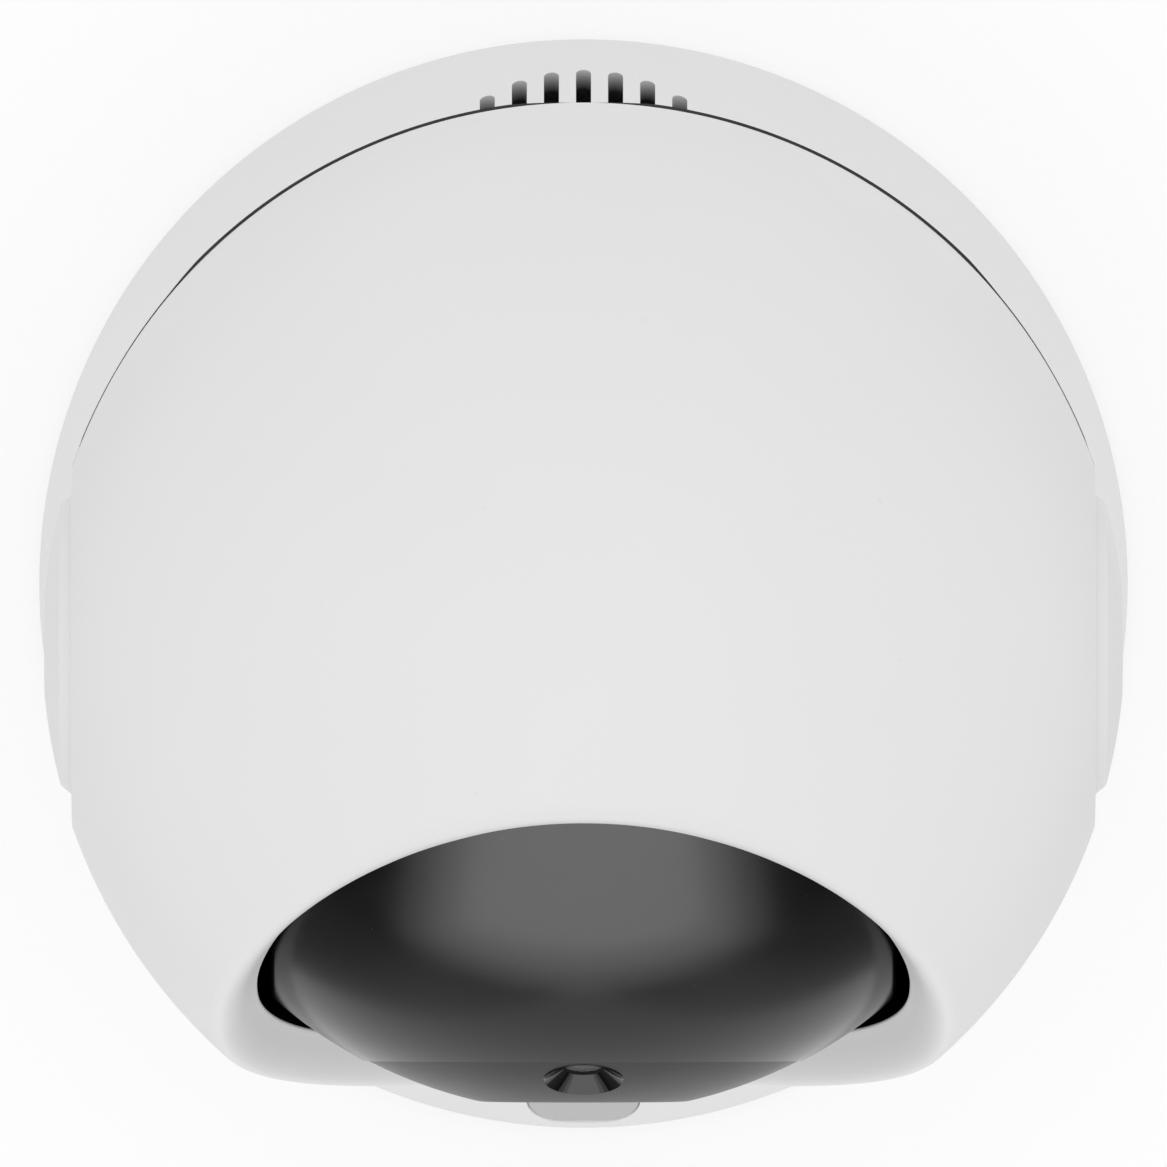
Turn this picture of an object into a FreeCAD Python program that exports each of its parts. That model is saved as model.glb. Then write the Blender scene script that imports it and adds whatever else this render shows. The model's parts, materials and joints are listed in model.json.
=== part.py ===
import FreeCAD, Part
import math
import os

V = FreeCAD.Vector

# Frame: millimetres, origin at the centre of the round base on the table, +Z up.
# The camera's front faces -Y, and +X is on the right of someone who faces it.

# Base skirt
base_radius = 45.0
skirt_slope_deg = 62.0
skirt_bottom_z = 0.8
skirt_band_height = 0.8
skirt_wall = 2.4
skirt_foot_wall = 3.7
rim_flat_drop = 0.6
bowl_gap = 0.9
bowl_wall = 2.2

# Head ball: the flat floor and the flat sides cut a little off it
pan_axis_forward = 4.95
head_radius = 44.0
head_wall = 2.4
head_side_cut = 2.5
head_floor_cut = 1.8
head_floor_z = 31.8
head_floor_thickness = 2.6

# Front opening of the head, seen from the side
lip_setback = 8.3
lip_arc_start_up = -20.6
lip_arc_radius = 101.0
lip_lean_deg = 33.9
opening_depth = 4.75
opening_setback = 3.58
opening_flange_width = 2.4
opening_overrun = 1.2
plug_front_forward = 56.0
plug_back_forward = 4.0

# Parting line between the two head shells: distances forward and up in the side view
seam_points = [(-60.0, -0.9), (-43.9, -0.15), (-30.0, 1.5), (-14.0, 2.2), (0.0, -0.5),
               (10.0, -7.5), (22.0, -21.0), (31.0, -33.0), (60.0, -64.0)]
seam_width = 0.24
seam_depth = 0.45

# Side caps
side_cap_radius = 12.2
side_cap_top_setback = 0.25
side_cap_crown_step = 0.05
side_cap_rim_height = 0.25
side_cap_chamfer_slope = 2.0
side_cap_peg_radius = 1.2
side_cap_peg_length = 1.8
side_cap_peg_spacing = 18.0
peg_clearance = 0.05
peg_hole_depth = 3.4

# Ball
ball_gap = 1.05
ball_arm_gap = 5.15
ball_wall = 2.2
ball_side_wall = 2.0
ball_front_wall = 2.0
ball_back_forward = -6.0
ball_cover_thickness = 1.6

# Face cap
cap_seat_setback = 4.4
cap_step = 0.15
cap_wall = 1.75
cap_front_setback = 1.08
window_radius = 7.6
window_thickness = 0.8
window_sink = 0.05

# Main lens
main_barrel_radius = 6.3
main_barrel_tip_radius = 5.2
main_barrel_gap = 0.07
main_barrel_tip_length = 1.4
main_barrel_length = 13.0
main_barrel_hole_radius = 9.2
main_glass_radius = 4.3
main_glass_crown_radius = 9.0
main_glass_sink = 0.4
main_glass_seat_depth = 1.6
main_holder_side = 19.6
main_holder_gap = 0.64
main_holder_length = 7.6
main_board_side = 20.0
sensor_board_thickness = 1.0

# Second lens above the main lens
second_lens_deg = 21.9
recess_outer_radius = 3.3
recess_inner_radius = 1.75
recess_depth = 1.22
recess_overrun = 0.6
second_glass_thickness = 0.5
second_barrel_radius = 2.6
second_barrel_length = 8.0
second_flange_radius = 4.0
second_flange_thickness = 0.8
second_seat_radius = 4.3
second_seat_setback = 8.0
second_seat_trim = 1.0
second_board_side = 5.6

# Night lamps behind the face cap
lamp_board_inner_radius = 7.7
lamp_board_gap = 0.48
lamp_board_thickness = 0.4
lamp_side = 1.5
lamp_height = 0.5
lamp_count = 4

# Trunnions and bearings
trunnion_radius = 4.0
trunnion_bore_radius = 2.2
trunnion_flange_radius = 8.0
trunnion_flange_thickness = 0.8
trunnion_overhang = 1.1
trunnion_root = 1.0
trunnion_screw_circle = 6.4
trunnion_screw_count = 3
trunnion_screw_head_radius = 1.5
trunnion_screw_head_height = 0.7
trunnion_screw_overrun = 0.6
trunnion_spigot_radius = 5.2
bearing_clearance = 0.06
bushing_wall = 1.5
bushing_flange_radius = 7.0
bushing_flange_thickness = 0.6
tilt_arm_inset = 11.0
tilt_arm_thickness = 3.0
tilt_arm_shell_gap = 0.3
tilt_arm_head_radius = 9.5
tilt_arm_foot_half_width = 13.0
tilt_arm_foot_up = -9.0
tilt_arm_foot_bottom_up = -20.5
arm_pillar_radius = 2.2
arm_pillar_forward = 8.0
arm_pillar_up = -15.5
arm_pillar_length = 8.0
shell_pillar_radius = 2.2
shell_pillar_forward = 6.2
shell_pillar_up = 6.6
pillar_root = 1.0
pillar_hole_depth = 3.8

# Screws
screw_shank_radius = 1.0
screw_head_radius = 1.9
screw_head_height = 1.0
screw_socket_radius = 0.75
screw_socket_depth = 0.5
screw_hole_clearance = 0.15
screw_seat_clearance = 0.2
screw_sink = 0.1
shell_screw_length = 5.0
arm_screw_length = 5.0
motor_screw_length = 5.0

# Gears
gear_module = 0.6
pressure_angle_deg = 20.0
addendum_share = 0.8
dedendum_share = 1.05
gear_backlash = 0.12
pinion_teeth = 14
pan_gear_teeth = 50
tilt_gear_teeth = 68
tilt_sector_start_deg = 141.0
tilt_sector_end_deg = 219.0
tilt_gear_thickness = 1.8
tilt_pinion_length = 2.3
tilt_pinion_overhang = 0.3

# Tilt motor behind the ball
tilt_motor_deg = 190.0
tilt_motor_radius = 8.5
tilt_motor_length = 13.0
motor_rib_inset = 3.15
motor_rib_thickness = 1.5
motor_rib_near = 16.0
motor_rib_half_width = 9.0
motor_boss_radius = 3.9
motor_boss_hole_radius = 4.2
motor_boss_height = 1.0
motor_shaft_radius = 1.0
motor_shaft_clearance = 0.05
motor_shaft_depth = 7.0

# Pan spindle and bearing
spindle_flange_radius = 11.8
spindle_flange_thickness = 1.8
spindle_radius = 7.5
spindle_bore_radius = 5.2
spindle_bottom_z = 15.0
spindle_screw_circle = 9.6
spindle_screw_count = 3
spindle_screw_head_radius = 1.6
spindle_screw_length = 2.4
spindle_screw_depth = 2.0
spindle_hole_clearance = 1.0
spindle_recess_radius = 12.6
spindle_recess_gap = 0.6
thrust_gap = 0.3
pan_bushing_wall = 2.4
pan_bushing_bottom_z = 20.6
pan_boss_radius = 13.0
pan_boss_bottom_z = 20.2
pan_gear_bottom_z = 16.6
pan_gear_top_z = 19.8
gear_clip_radius = 9.4

# Pan motor beside the spindle
pan_motor_radius = 9.6
pan_motor_bottom_z = 6.2
pan_motor_top_z = 14.4
pan_boss_top_z = 15.4
pan_pinion_bottom_z = 15.9
pan_pinion_top_z = 20.0
motor_tab_reach = 13.2
motor_tab_half_width = 3.0
motor_tab_thickness = 0.8
motor_post_radius = 2.3
motor_post_hole_bottom_z = 8.0

# Bottom cover and what stands on it
cover_gap = 0.1
cover_top_z = 2.8
foot_ring_inset = 1.2
foot_ring_width = 3.6
foot_ring_groove = 0.5
post_inset = 12.0
post_radius = 2.8
post_top_z = 23.0
post_angles_deg = (45.0, 135.0, 225.0, 300.0)
base_screw_head_radius = 2.5
base_screw_head_height = 1.2
base_screw_sink = 0.3
base_screw_shank_radius = 1.25
base_screw_length = 7.0
base_screw_hole_radius = 1.45

# Tripod thread insert
insert_outer_radius = 4.6
insert_hole_radius = 2.6
insert_top_z = 8.6
insert_roof = 1.0
insert_boss_radius = 6.4

# Main board
board_bottom_z = 5.0
board_top_z = 6.2
board_inset = 9.4
board_back_y = 13.0
board_post_hole_radius = 3.2
board_centre_hole_radius = 6.8
board_pillar_radius = 2.0
board_pillar_inset = 6.0
board_pillar_angles_deg = (16.0, 164.0, 285.0)

# Packages on the main board: place of the centre, width, depth and height
processor_x = -24.0
processor_y = 5.0
processor_side = 7.0
processor_height = 1.0
memory_x = -18.0
memory_y = -8.0
memory_width = 6.0
memory_depth = 8.0
memory_height = 1.1
regulator_x = 4.0
regulator_y = -16.0
regulator_width = 5.0
regulator_depth = 4.0
regulator_height = 1.4
shield_x = -2.0
shield_y = -25.5
shield_width = 14.0
shield_depth = 11.0
shield_height = 2.2
antenna_inset = 5.0
antenna_y = -9.0
antenna_thickness = 0.8
antenna_width = 8.0
antenna_height = 7.5

# Power socket
socket_width = 9.0
socket_height = 3.2
socket_length = 7.3
socket_mouth_inset = 6.2
socket_wall = 0.3
socket_tongue_width = 6.6
socket_tongue_height = 0.7
socket_tongue_length = 5.8
socket_pocket_half_width = 6.6
socket_pocket_bottom_z = 4.2
socket_pocket_top_z = 11.4
socket_pad_inset = 8.4
socket_pad_half_width = 9.0
socket_pad_top_z = 14.0
socket_hole_clearance = 0.15

# Status window on the front of the skirt
status_half_width = 4.7
status_bottom_z = 2.4
status_top_z = 8.0
status_depth = 1.5
status_pipe_radius = 0.9
status_pipe_z = 7.0
status_pipe_inset = 9.0
status_led_depth = 1.6
status_led_half_width = 1.0

# Speaker and its slots at the back
slot_width = 1.24
slot_pitch = 2.647
slot_count = 9
slot_start_y = 20.0
grille_radius = 13.4
grille_centre_z = 19.85
speaker_seat_depth = 6.2
speaker_tube_outer_radius = 14.4
speaker_tube_inner_radius = 13.2
speaker_frame_radius = 14.2
speaker_frame_depth = 2.6
speaker_cone_radius = 11.6
speaker_cone_depth = 1.9
speaker_dome_radius = 4.2
speaker_magnet_radius = 8.0
speaker_magnet_depth = 4.4
speaker_cone_thickness = 0.4

# Reset button in the bottom cover
button_x = -14.0
button_y = -20.0
button_radius = 1.5
button_hole_radius = 1.8
button_flange_radius = 2.5
button_flange_thickness = 0.6
button_bottom_z = 0.95
button_switch_gap = 0.7
button_switch_side = 4.4

# Extent of the cutting blocks, larger than the object
far = 130.0

X = V(1, 0, 0)
Y = V(0, 1, 0)
Z = V(0, 0, 1)

# Places in the base that follow from the sizes above
slope = math.tan(math.radians(skirt_slope_deg))
cone_start_z = skirt_bottom_z + skirt_band_height
skirt_foot_inner_radius = base_radius - skirt_foot_wall
cover_radius = skirt_foot_inner_radius - cover_gap
foot_ring_outer_radius = cover_radius - foot_ring_inset
foot_ring_inner_radius = foot_ring_outer_radius - foot_ring_width
post_circle_radius = base_radius - post_inset
board_radius = base_radius - board_inset
antenna_x = antenna_inset - board_radius
socket_mouth_x = socket_mouth_inset - base_radius
socket_pad_inner_x = socket_pad_inset - base_radius
socket_z = board_top_z + socket_height / 2
status_pipe_end_y = status_pipe_inset - base_radius

# Places in the head that follow from the sizes above
pan_y = -pan_axis_forward
tilt_axis_z = head_floor_z + head_radius - head_floor_cut
tilt_centre = V(0, pan_y, tilt_axis_z)
head_flat_x = head_radius - head_side_cut
head_flat_inner_x = head_flat_x - head_wall
lip_forward_max = head_radius - lip_setback
opening_inner_radius = head_radius - opening_depth
side_cap_top_x = head_radius - side_cap_top_setback
side_cap_crown_radius = head_radius - side_cap_crown_step
tilt_arm_inner_x = head_flat_x - tilt_arm_inset
tilt_arm_outer_x = tilt_arm_inner_x + tilt_arm_thickness
trunnion_end_x = tilt_arm_outer_x + trunnion_overhang
shell_screw_seat_x = head_flat_x - screw_head_height - screw_sink
spindle_screw_seat_z = (head_floor_z - spindle_flange_thickness + screw_head_height
                        + screw_sink)

# Places in the ball that follow from the sizes above
ball_radius = opening_inner_radius - ball_gap
ball_half_width = tilt_arm_inner_x - ball_arm_gap
ball_inner_half_width = ball_half_width - ball_side_wall
trunnion_root_x = ball_inner_half_width - trunnion_root
motor_rib_inner_x = ball_half_width - motor_rib_inset
tilt_gear_x = ball_half_width + trunnion_flange_thickness
tilt_pinion_start_x = tilt_gear_x - tilt_pinion_overhang
cap_radius = ball_radius - cap_step
cap_seat_forward = ball_radius - cap_seat_setback
cap_front_forward = ball_radius - cap_front_setback
window_back_forward = cap_front_forward - window_sink - window_thickness
main_barrel_front = window_back_forward - main_barrel_gap
main_barrel_back = main_barrel_front - main_barrel_length
second_seat_reach = ball_radius - second_seat_setback
second_barrel_tip = cap_radius - recess_depth - second_glass_thickness
second_barrel_back = second_barrel_tip - second_barrel_length
second_lean = math.radians(second_lens_deg)
second_board_low_up = ((second_barrel_back - sensor_board_thickness) * math.sin(second_lean)
                       - second_board_side / 2 * math.cos(second_lean))
main_holder_top_up = second_board_low_up - main_holder_gap
second_barrel_low_up = (cap_seat_forward * math.tan(second_lean)
                        - second_barrel_radius / math.cos(second_lean))
lamp_board_outer_radius = second_barrel_low_up - lamp_board_gap
lamp_circle_radius = (lamp_board_inner_radius + lamp_board_outer_radius) / 2


def at(x, forward, up):
    """A point given from the tilt centre: sideways, forward and up."""
    return V(x, pan_y - forward, tilt_axis_z + up)


def side_direction(angle_deg):
    """A direction in the side view, measured from forward towards up."""
    angle = math.radians(angle_deg)
    return V(0, -math.cos(angle), math.sin(angle))


def cylinder(radius, start, direction, length):
    return Part.makeCylinder(radius, length, start, direction)


def disc(radius, x, y, low_z, high_z):
    return Part.makeCylinder(radius, high_z - low_z, V(x, y, low_z), Z)


def tube(outer, inner, x, y, low_z, high_z):
    return disc(outer, x, y, low_z, high_z).cut(disc(inner, x, y, low_z, high_z))


def block(low, high):
    size = high.sub(low)
    return Part.makeBox(size.x, size.y, size.z, low)


def ball_solid(radius):
    return Part.makeSphere(radius, tilt_centre)


def slab_x(low_x, high_x):
    return block(V(low_x, -far, -far), V(high_x, far, far))


def forward_block(low_forward, high_forward):
    return block(V(-far, pan_y - high_forward, -far), V(far, pan_y - low_forward, far))


def merged(shapes):
    result = shapes[0]
    for shape in shapes[1:]:
        result = result.fuse(shape)
    return result.removeSplitter()


def side_prism(points, half_width, curved=True):
    """A body of constant side view across the camera; the first and last points
    are corners of the closing straight lines, the others lie on a smooth curve."""
    path = [at(-half_width, forward, up) for forward, up in points]
    inner = path[1:-1]
    if curved:
        curve = Part.BSplineCurve()
        curve.interpolate(inner)
        edges = [curve.toShape()]
    else:
        edges = [Part.makeLine(a, b) for a, b in zip(inner, inner[1:])]
    edges.append(Part.makeLine(inner[-1], path[-1]))
    edges.append(Part.makeLine(path[-1], path[0]))
    edges.append(Part.makeLine(path[0], inner[0]))
    return Part.Face(Part.Wire(edges)).extrude(V(2 * half_width, 0, 0))


def mirrored(shape):
    return shape.mirror(V(0, 0, 0), X)


def save(shape, node):
    shape.exportStep("parts/" + node + ".step")


# Screws

def screw(start, direction, shank_length, shank_radius, head_radius, head_height):
    """A cap screw whose head bears at the start point and shank runs along direction."""
    shank = cylinder(shank_radius, start, direction, shank_length)
    back = V(direction).multiply(-1)
    head = cylinder(head_radius, start, back, head_height)
    body = shank.fuse(head).removeSplitter()
    socket_start = start.add(V(back).multiply(head_height - screw_socket_depth))
    return body.cut(cylinder(screw_socket_radius, socket_start, back, screw_socket_depth))


def small_screw(start, direction, length):
    return screw(start, direction, length, screw_shank_radius,
                 screw_head_radius, screw_head_height)


# Gears

def involute_flank(teeth):
    """Radii and half tooth angles from the root to the tip."""
    pitch_radius = gear_module * teeth / 2
    root_radius = pitch_radius - dedendum_share * gear_module
    tip_radius = pitch_radius + addendum_share * gear_module
    pressure = math.radians(pressure_angle_deg)
    base_circle = pitch_radius * math.cos(pressure)
    involute_at_pitch = math.tan(pressure) - pressure
    half_at_pitch = (math.pi * gear_module / 2 - gear_backlash / 2) / (2 * pitch_radius)
    start_radius = max(base_circle, root_radius)
    radii = [start_radius + (tip_radius - start_radius) * i / 4 for i in range(5)]
    flank = []
    if root_radius < base_circle:
        flank.append((root_radius, half_at_pitch + involute_at_pitch))
    for radius in radii:
        angle = math.acos(min(1.0, base_circle / radius))
        flank.append((radius, half_at_pitch + involute_at_pitch - math.tan(angle) + angle))
    return flank


def tooth_points(teeth, centre_angle):
    flank = involute_flank(teeth)
    rising = [(radius, centre_angle - half) for radius, half in flank]
    falling = [(radius, centre_angle + half) for radius, half in reversed(flank)]
    return [V(r * math.cos(a), r * math.sin(a), 0) for r, a in rising + falling]


def gear_blank(teeth, thickness, first_angle):
    """A full gear in the XY plane with one tooth centred on the first angle."""
    points = []
    for i in range(teeth):
        points += tooth_points(teeth, first_angle + 2 * math.pi * i / teeth)
    points.append(points[0])
    return Part.Face(Part.makePolygon(points)).extrude(V(0, 0, thickness))


def sector_blank(teeth, thickness, start_deg, end_deg, meshing_deg):
    """A fan of teeth that has a gap centred on the meshing direction."""
    pitch = 2 * math.pi / teeth
    meshing = math.radians(meshing_deg)
    first = meshing + pitch / 2
    low = math.ceil((math.radians(start_deg) - first) / pitch)
    high = math.floor((math.radians(end_deg) - first) / pitch)
    points = [V(0, 0, 0)]
    for i in range(low, high + 1):
        points += tooth_points(teeth, first + i * pitch)
    points.append(V(0, 0, 0))
    return Part.Face(Part.makePolygon(points)).extrude(V(0, 0, thickness))


def pitch_radius(teeth):
    return gear_module * teeth / 2


pan_motor_x = pitch_radius(pan_gear_teeth) + pitch_radius(pinion_teeth)
tilt_motor_distance = pitch_radius(tilt_gear_teeth) + pitch_radius(pinion_teeth)
tilt_motor_offset = side_direction(tilt_motor_deg).multiply(tilt_motor_distance)
tilt_motor_centre = tilt_centre.add(tilt_motor_offset)


def side_view_placement(centre, x):
    """Puts a shape drawn in XY into the side view: drawn X forward, drawn Y up."""
    rotation = FreeCAD.Rotation(V(0, -1, 0), V(0, 0, 1), V(-1, 0, 0), "XYZ")
    return FreeCAD.Placement(V(x, centre.y, centre.z), rotation)


# Base

def skirt_radius(z):
    return base_radius - max(0.0, z - cone_start_z) / slope


def skirt_cone(inset):
    """The base's outer body, or its inner space when inset by the wall."""
    slant_inset = inset / math.sin(math.radians(skirt_slope_deg))
    top_z = tilt_axis_z - head_radius / 2
    band = disc(base_radius - inset, 0, 0, skirt_bottom_z, cone_start_z)
    cone = Part.makeCone(base_radius - slant_inset, skirt_radius(top_z) - slant_inset,
                         top_z - cone_start_z, V(0, 0, cone_start_z), Z)
    return band.fuse(cone)


def rim_height(y_sign):
    """Height at which the skirt meets the bowl on the base's front or back line."""
    low, high = cone_start_z, tilt_axis_z
    for _ in range(60):
        middle = (low + high) / 2
        reach = y_sign * skirt_radius(middle) - pan_y
        distance = math.hypot(reach, middle - tilt_axis_z)
        if distance > head_radius + bowl_gap:
            low = middle
        else:
            high = middle
    return low


def rim_cutter():
    """Everything above the slanted plane that blunts the bowl's rim."""
    front_z = rim_height(-1) - rim_flat_drop
    back_z = rim_height(1) - rim_flat_drop
    front_y = -skirt_radius(front_z)
    back_y = skirt_radius(back_z)
    lean = (back_z - front_z) / (back_y - front_y)
    low = V(-far, -far, front_z + lean * (-far - front_y))
    high = V(-far, far, front_z + lean * (far - front_y))
    wire = Part.makePolygon([low, high, V(-far, far, 2 * far), V(-far, -far, 2 * far), low])
    return Part.Face(wire).extrude(V(2 * far, 0, 0))


def speaker_axis():
    angle = math.radians(skirt_slope_deg)
    outward = V(0, math.sin(angle), math.cos(angle))
    start = V(0, skirt_radius(grille_centre_z), grille_centre_z)
    return start, V(outward).multiply(-1)


def along(start, direction, distance):
    return start.add(V(direction).multiply(distance))


def grille_slots():
    slots = []
    outermost = (slot_count - 1) / 2
    for i in range(slot_count):
        x = (i - outermost) * slot_pitch
        reach = math.sqrt(grille_radius ** 2 - x ** 2) - slot_width / 2
        low_z = grille_centre_z - reach
        high_z = grille_centre_z + reach
        ends = [cylinder(slot_width / 2, V(x, slot_start_y, z), Y, base_radius)
                for z in (low_z, high_z)]
        middle = block(V(x - slot_width / 2, slot_start_y, low_z),
                       V(x + slot_width / 2, slot_start_y + base_radius, high_z))
        slots.append(merged([middle] + ends))
    return Part.makeCompound(slots)


def status_prism():
    """The window's pill outline carried through the skirt's front."""
    radius = (status_top_z - status_bottom_z) / 2
    centre_z = (status_top_z + status_bottom_z) / 2
    reach = status_half_width - radius
    ends = [cylinder(radius, V(x, -far, centre_z), Y, far) for x in (-reach, reach)]
    middle = block(V(-reach, -far, status_bottom_z), V(reach, 0, status_top_z))
    return merged([middle] + ends)


def status_pane():
    layer = skirt_cone(0).cut(skirt_cone(status_depth))
    return layer.common(status_prism())


def status_pipe(extra):
    start_y = -skirt_radius(status_pipe_z) + status_depth / 2
    return cylinder(status_pipe_radius + extra, V(0, start_y, status_pipe_z), Y,
                    status_pipe_end_y - start_y)


def post_positions():
    angles = [math.radians(angle) for angle in post_angles_deg]
    return [(post_circle_radius * math.cos(angle), post_circle_radius * math.sin(angle))
            for angle in angles]


def rounded_slot(low_x, high_x, half_width, half_height, z):
    """A stadium-shaped bar along X, as wide and high as stated."""
    reach = half_width - half_height
    ends = [cylinder(half_height, V(low_x, y, z), X, high_x - low_x) for y in (-reach, reach)]
    middle = block(V(low_x, -reach, z - half_height), V(high_x, reach, z + half_height))
    return merged([middle] + ends)


def base_shell():
    outer = skirt_cone(0).cut(rim_cutter())
    outer = outer.cut(ball_solid(head_radius + bowl_gap))
    inner = skirt_cone(skirt_wall).cut(ball_solid(head_radius + bowl_gap + bowl_wall))
    inner = inner.common(block(V(-far, -far, cover_top_z), V(far, far, far)))
    inner = inner.cut(disc(pan_boss_radius, 0, pan_y, pan_boss_bottom_z, tilt_axis_z))
    shell = outer.cut(inner)
    shell = shell.cut(disc(skirt_foot_inner_radius, 0, 0, 0, cover_top_z))
    posts = [disc(post_radius, x, y, cover_top_z, post_top_z) for x, y in post_positions()]
    pad = block(V(-base_radius, -socket_pad_half_width, cover_top_z),
                V(socket_pad_inner_x, socket_pad_half_width, socket_pad_top_z))
    start, inward = speaker_axis()
    seat = cylinder(speaker_tube_outer_radius, start, inward, speaker_seat_depth)
    seat = seat.cut(cylinder(speaker_tube_inner_radius, start, inward, speaker_seat_depth))
    extras = [shape.common(outer) for shape in posts + [pad, seat]]
    shell = merged([shell] + extras)
    recess_floor_z = head_floor_z - spindle_flange_thickness - spindle_recess_gap
    shell = shell.cut(disc(spindle_recess_radius, 0, pan_y, recess_floor_z, tilt_axis_z))
    bushing_outer = spindle_radius + bearing_clearance + pan_bushing_wall
    shell = shell.cut(disc(bushing_outer, 0, pan_y, 0, tilt_axis_z))
    shell = shell.cut(grille_slots())
    pocket = block(V(-far, -socket_pocket_half_width, socket_pocket_bottom_z),
                   V(socket_mouth_x, socket_pocket_half_width, socket_pocket_top_z))
    mouth = rounded_slot(-far, 0, socket_width / 2 + socket_hole_clearance,
                         socket_height / 2 + socket_hole_clearance, socket_z)
    mouth = mouth.common(block(V(-far, -far, 0), V(socket_pad_inner_x + 1, far, far)))
    shell = shell.cut(pocket).cut(mouth)
    shell = shell.cut(status_pane()).cut(status_pipe(0))
    for x, y in post_positions():
        shell = shell.cut(disc(base_screw_shank_radius, x, y, 0, cover_top_z + base_screw_length))
    return shell


def board_pillar_positions():
    reach = board_radius - board_pillar_inset
    angles = [math.radians(angle) for angle in board_pillar_angles_deg]
    return [(reach * math.cos(angle), reach * math.sin(angle)) for angle in angles]


def bottom_cover():
    cover = disc(cover_radius, 0, 0, skirt_bottom_z, cover_top_z)
    boss = disc(insert_boss_radius, 0, 0, skirt_bottom_z, insert_top_z)
    posts = [disc(motor_post_radius, pan_motor_x, pan_y + side * motor_tab_reach,
                  skirt_bottom_z, pan_motor_top_z - motor_tab_thickness) for side in (-1, 1)]
    pillars = [disc(board_pillar_radius, x, y, skirt_bottom_z, board_bottom_z)
               for x, y in board_pillar_positions()]
    cover = merged([cover, boss] + posts + pillars)
    cover = cover.cut(disc(insert_outer_radius, 0, 0, 0, insert_top_z))
    groove_top = skirt_bottom_z + foot_ring_groove
    cover = cover.cut(tube(foot_ring_outer_radius, foot_ring_inner_radius, 0, 0, 0, groove_top))
    head_top = skirt_bottom_z + base_screw_sink + base_screw_head_height
    for x, y in post_positions():
        cover = cover.cut(disc(base_screw_hole_radius, x, y, 0, cover_top_z))
        cover = cover.cut(disc(base_screw_head_radius + screw_seat_clearance, x, y, 0, head_top))
    for side in (-1, 1):
        y = pan_y + side * motor_tab_reach
        cover = cover.cut(disc(screw_shank_radius, pan_motor_x, y, motor_post_hole_bottom_z,
                               pan_motor_top_z))
    return cover.cut(disc(button_hole_radius, button_x, button_y, 0, cover_top_z))


def foot_ring():
    return tube(foot_ring_outer_radius, foot_ring_inner_radius, 0, 0, 0,
                skirt_bottom_z + foot_ring_groove)


def base_screws():
    start_z = skirt_bottom_z + base_screw_sink + base_screw_head_height
    screws = [screw(V(x, y, start_z), Z, base_screw_length, base_screw_shank_radius,
                    base_screw_head_radius, base_screw_head_height)
              for x, y in post_positions()]
    return Part.makeCompound(screws)


def tripod_insert():
    body = disc(insert_outer_radius, 0, 0, skirt_bottom_z, insert_top_z)
    return body.cut(disc(insert_hole_radius, 0, 0, 0, insert_top_z - insert_roof))


def status_window():
    return status_pane().fuse(status_pipe(0)).removeSplitter()


def status_led():
    return block(V(-status_led_half_width, status_pipe_end_y, board_top_z),
                 V(status_led_half_width, status_pipe_end_y + status_led_depth,
                   status_pipe_z + status_pipe_radius))


def main_board():
    board = disc(board_radius, 0, 0, board_bottom_z, board_top_z)
    board = board.cut(block(V(-far, board_back_y, 0), V(far, far, far)))
    board = board.cut(disc(board_centre_hole_radius, 0, 0, 0, far))
    for x, y in post_positions():
        board = board.cut(disc(board_post_hole_radius, x, y, 0, far))
    for side in (-1, 1):
        y = pan_y + side * motor_tab_reach
        board = board.cut(disc(motor_post_radius, pan_motor_x, y, 0, far))
    return board


def on_board(x, y, width, depth, height):
    """A package that stands on the main board, given by its centre."""
    return block(V(x - width / 2, y - depth / 2, board_top_z),
                 V(x + width / 2, y + depth / 2, board_top_z + height))


def board_chips():
    processor = on_board(processor_x, processor_y, processor_side, processor_side,
                         processor_height)
    memory = on_board(memory_x, memory_y, memory_width, memory_depth, memory_height)
    regulator = on_board(regulator_x, regulator_y, regulator_width, regulator_depth,
                         regulator_height)
    return Part.makeCompound([processor, memory, regulator])


def shield_can():
    return on_board(shield_x, shield_y, shield_width, shield_depth, shield_height)


def antenna_board():
    return on_board(antenna_x, antenna_y, antenna_thickness, antenna_width, antenna_height)


def reset_switch():
    half = button_switch_side / 2
    low_z = cover_top_z + thrust_gap + button_flange_thickness + button_switch_gap
    return block(V(button_x - half, button_y - half, low_z),
                 V(button_x + half, button_y + half, board_bottom_z))


def power_socket():
    end_x = socket_mouth_x + socket_length
    shell = rounded_slot(socket_mouth_x, end_x, socket_width / 2, socket_height / 2, socket_z)
    return shell.cut(rounded_slot(socket_mouth_x, end_x - socket_wall,
                                  socket_width / 2 - socket_wall,
                                  socket_height / 2 - socket_wall, socket_z))


def socket_tongue():
    end_x = socket_mouth_x + socket_length - socket_wall
    return block(V(end_x - socket_tongue_length, -socket_tongue_width / 2,
                   socket_z - socket_tongue_height / 2),
                 V(end_x, socket_tongue_width / 2, socket_z + socket_tongue_height / 2))


def speaker_frame():
    start, inward = speaker_axis()
    seat = along(start, inward, speaker_seat_depth)
    frame = cylinder(speaker_frame_radius, seat, inward, speaker_frame_depth)
    return frame.cut(cylinder(speaker_cone_radius, seat, inward, speaker_cone_depth))


def speaker_cone():
    start, inward = speaker_axis()
    seat = along(start, inward, speaker_seat_depth)
    cone = Part.makeCone(speaker_cone_radius, speaker_dome_radius, speaker_cone_depth,
                         seat, inward)
    hollow_seat = along(seat, inward, -speaker_cone_thickness)
    cone = cone.cut(Part.makeCone(speaker_cone_radius, speaker_dome_radius,
                                  speaker_cone_depth, hollow_seat, inward))
    return cone


def speaker_magnet():
    start, inward = speaker_axis()
    back = along(start, inward, speaker_seat_depth + speaker_frame_depth)
    return cylinder(speaker_magnet_radius, back, inward, speaker_magnet_depth)


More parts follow.
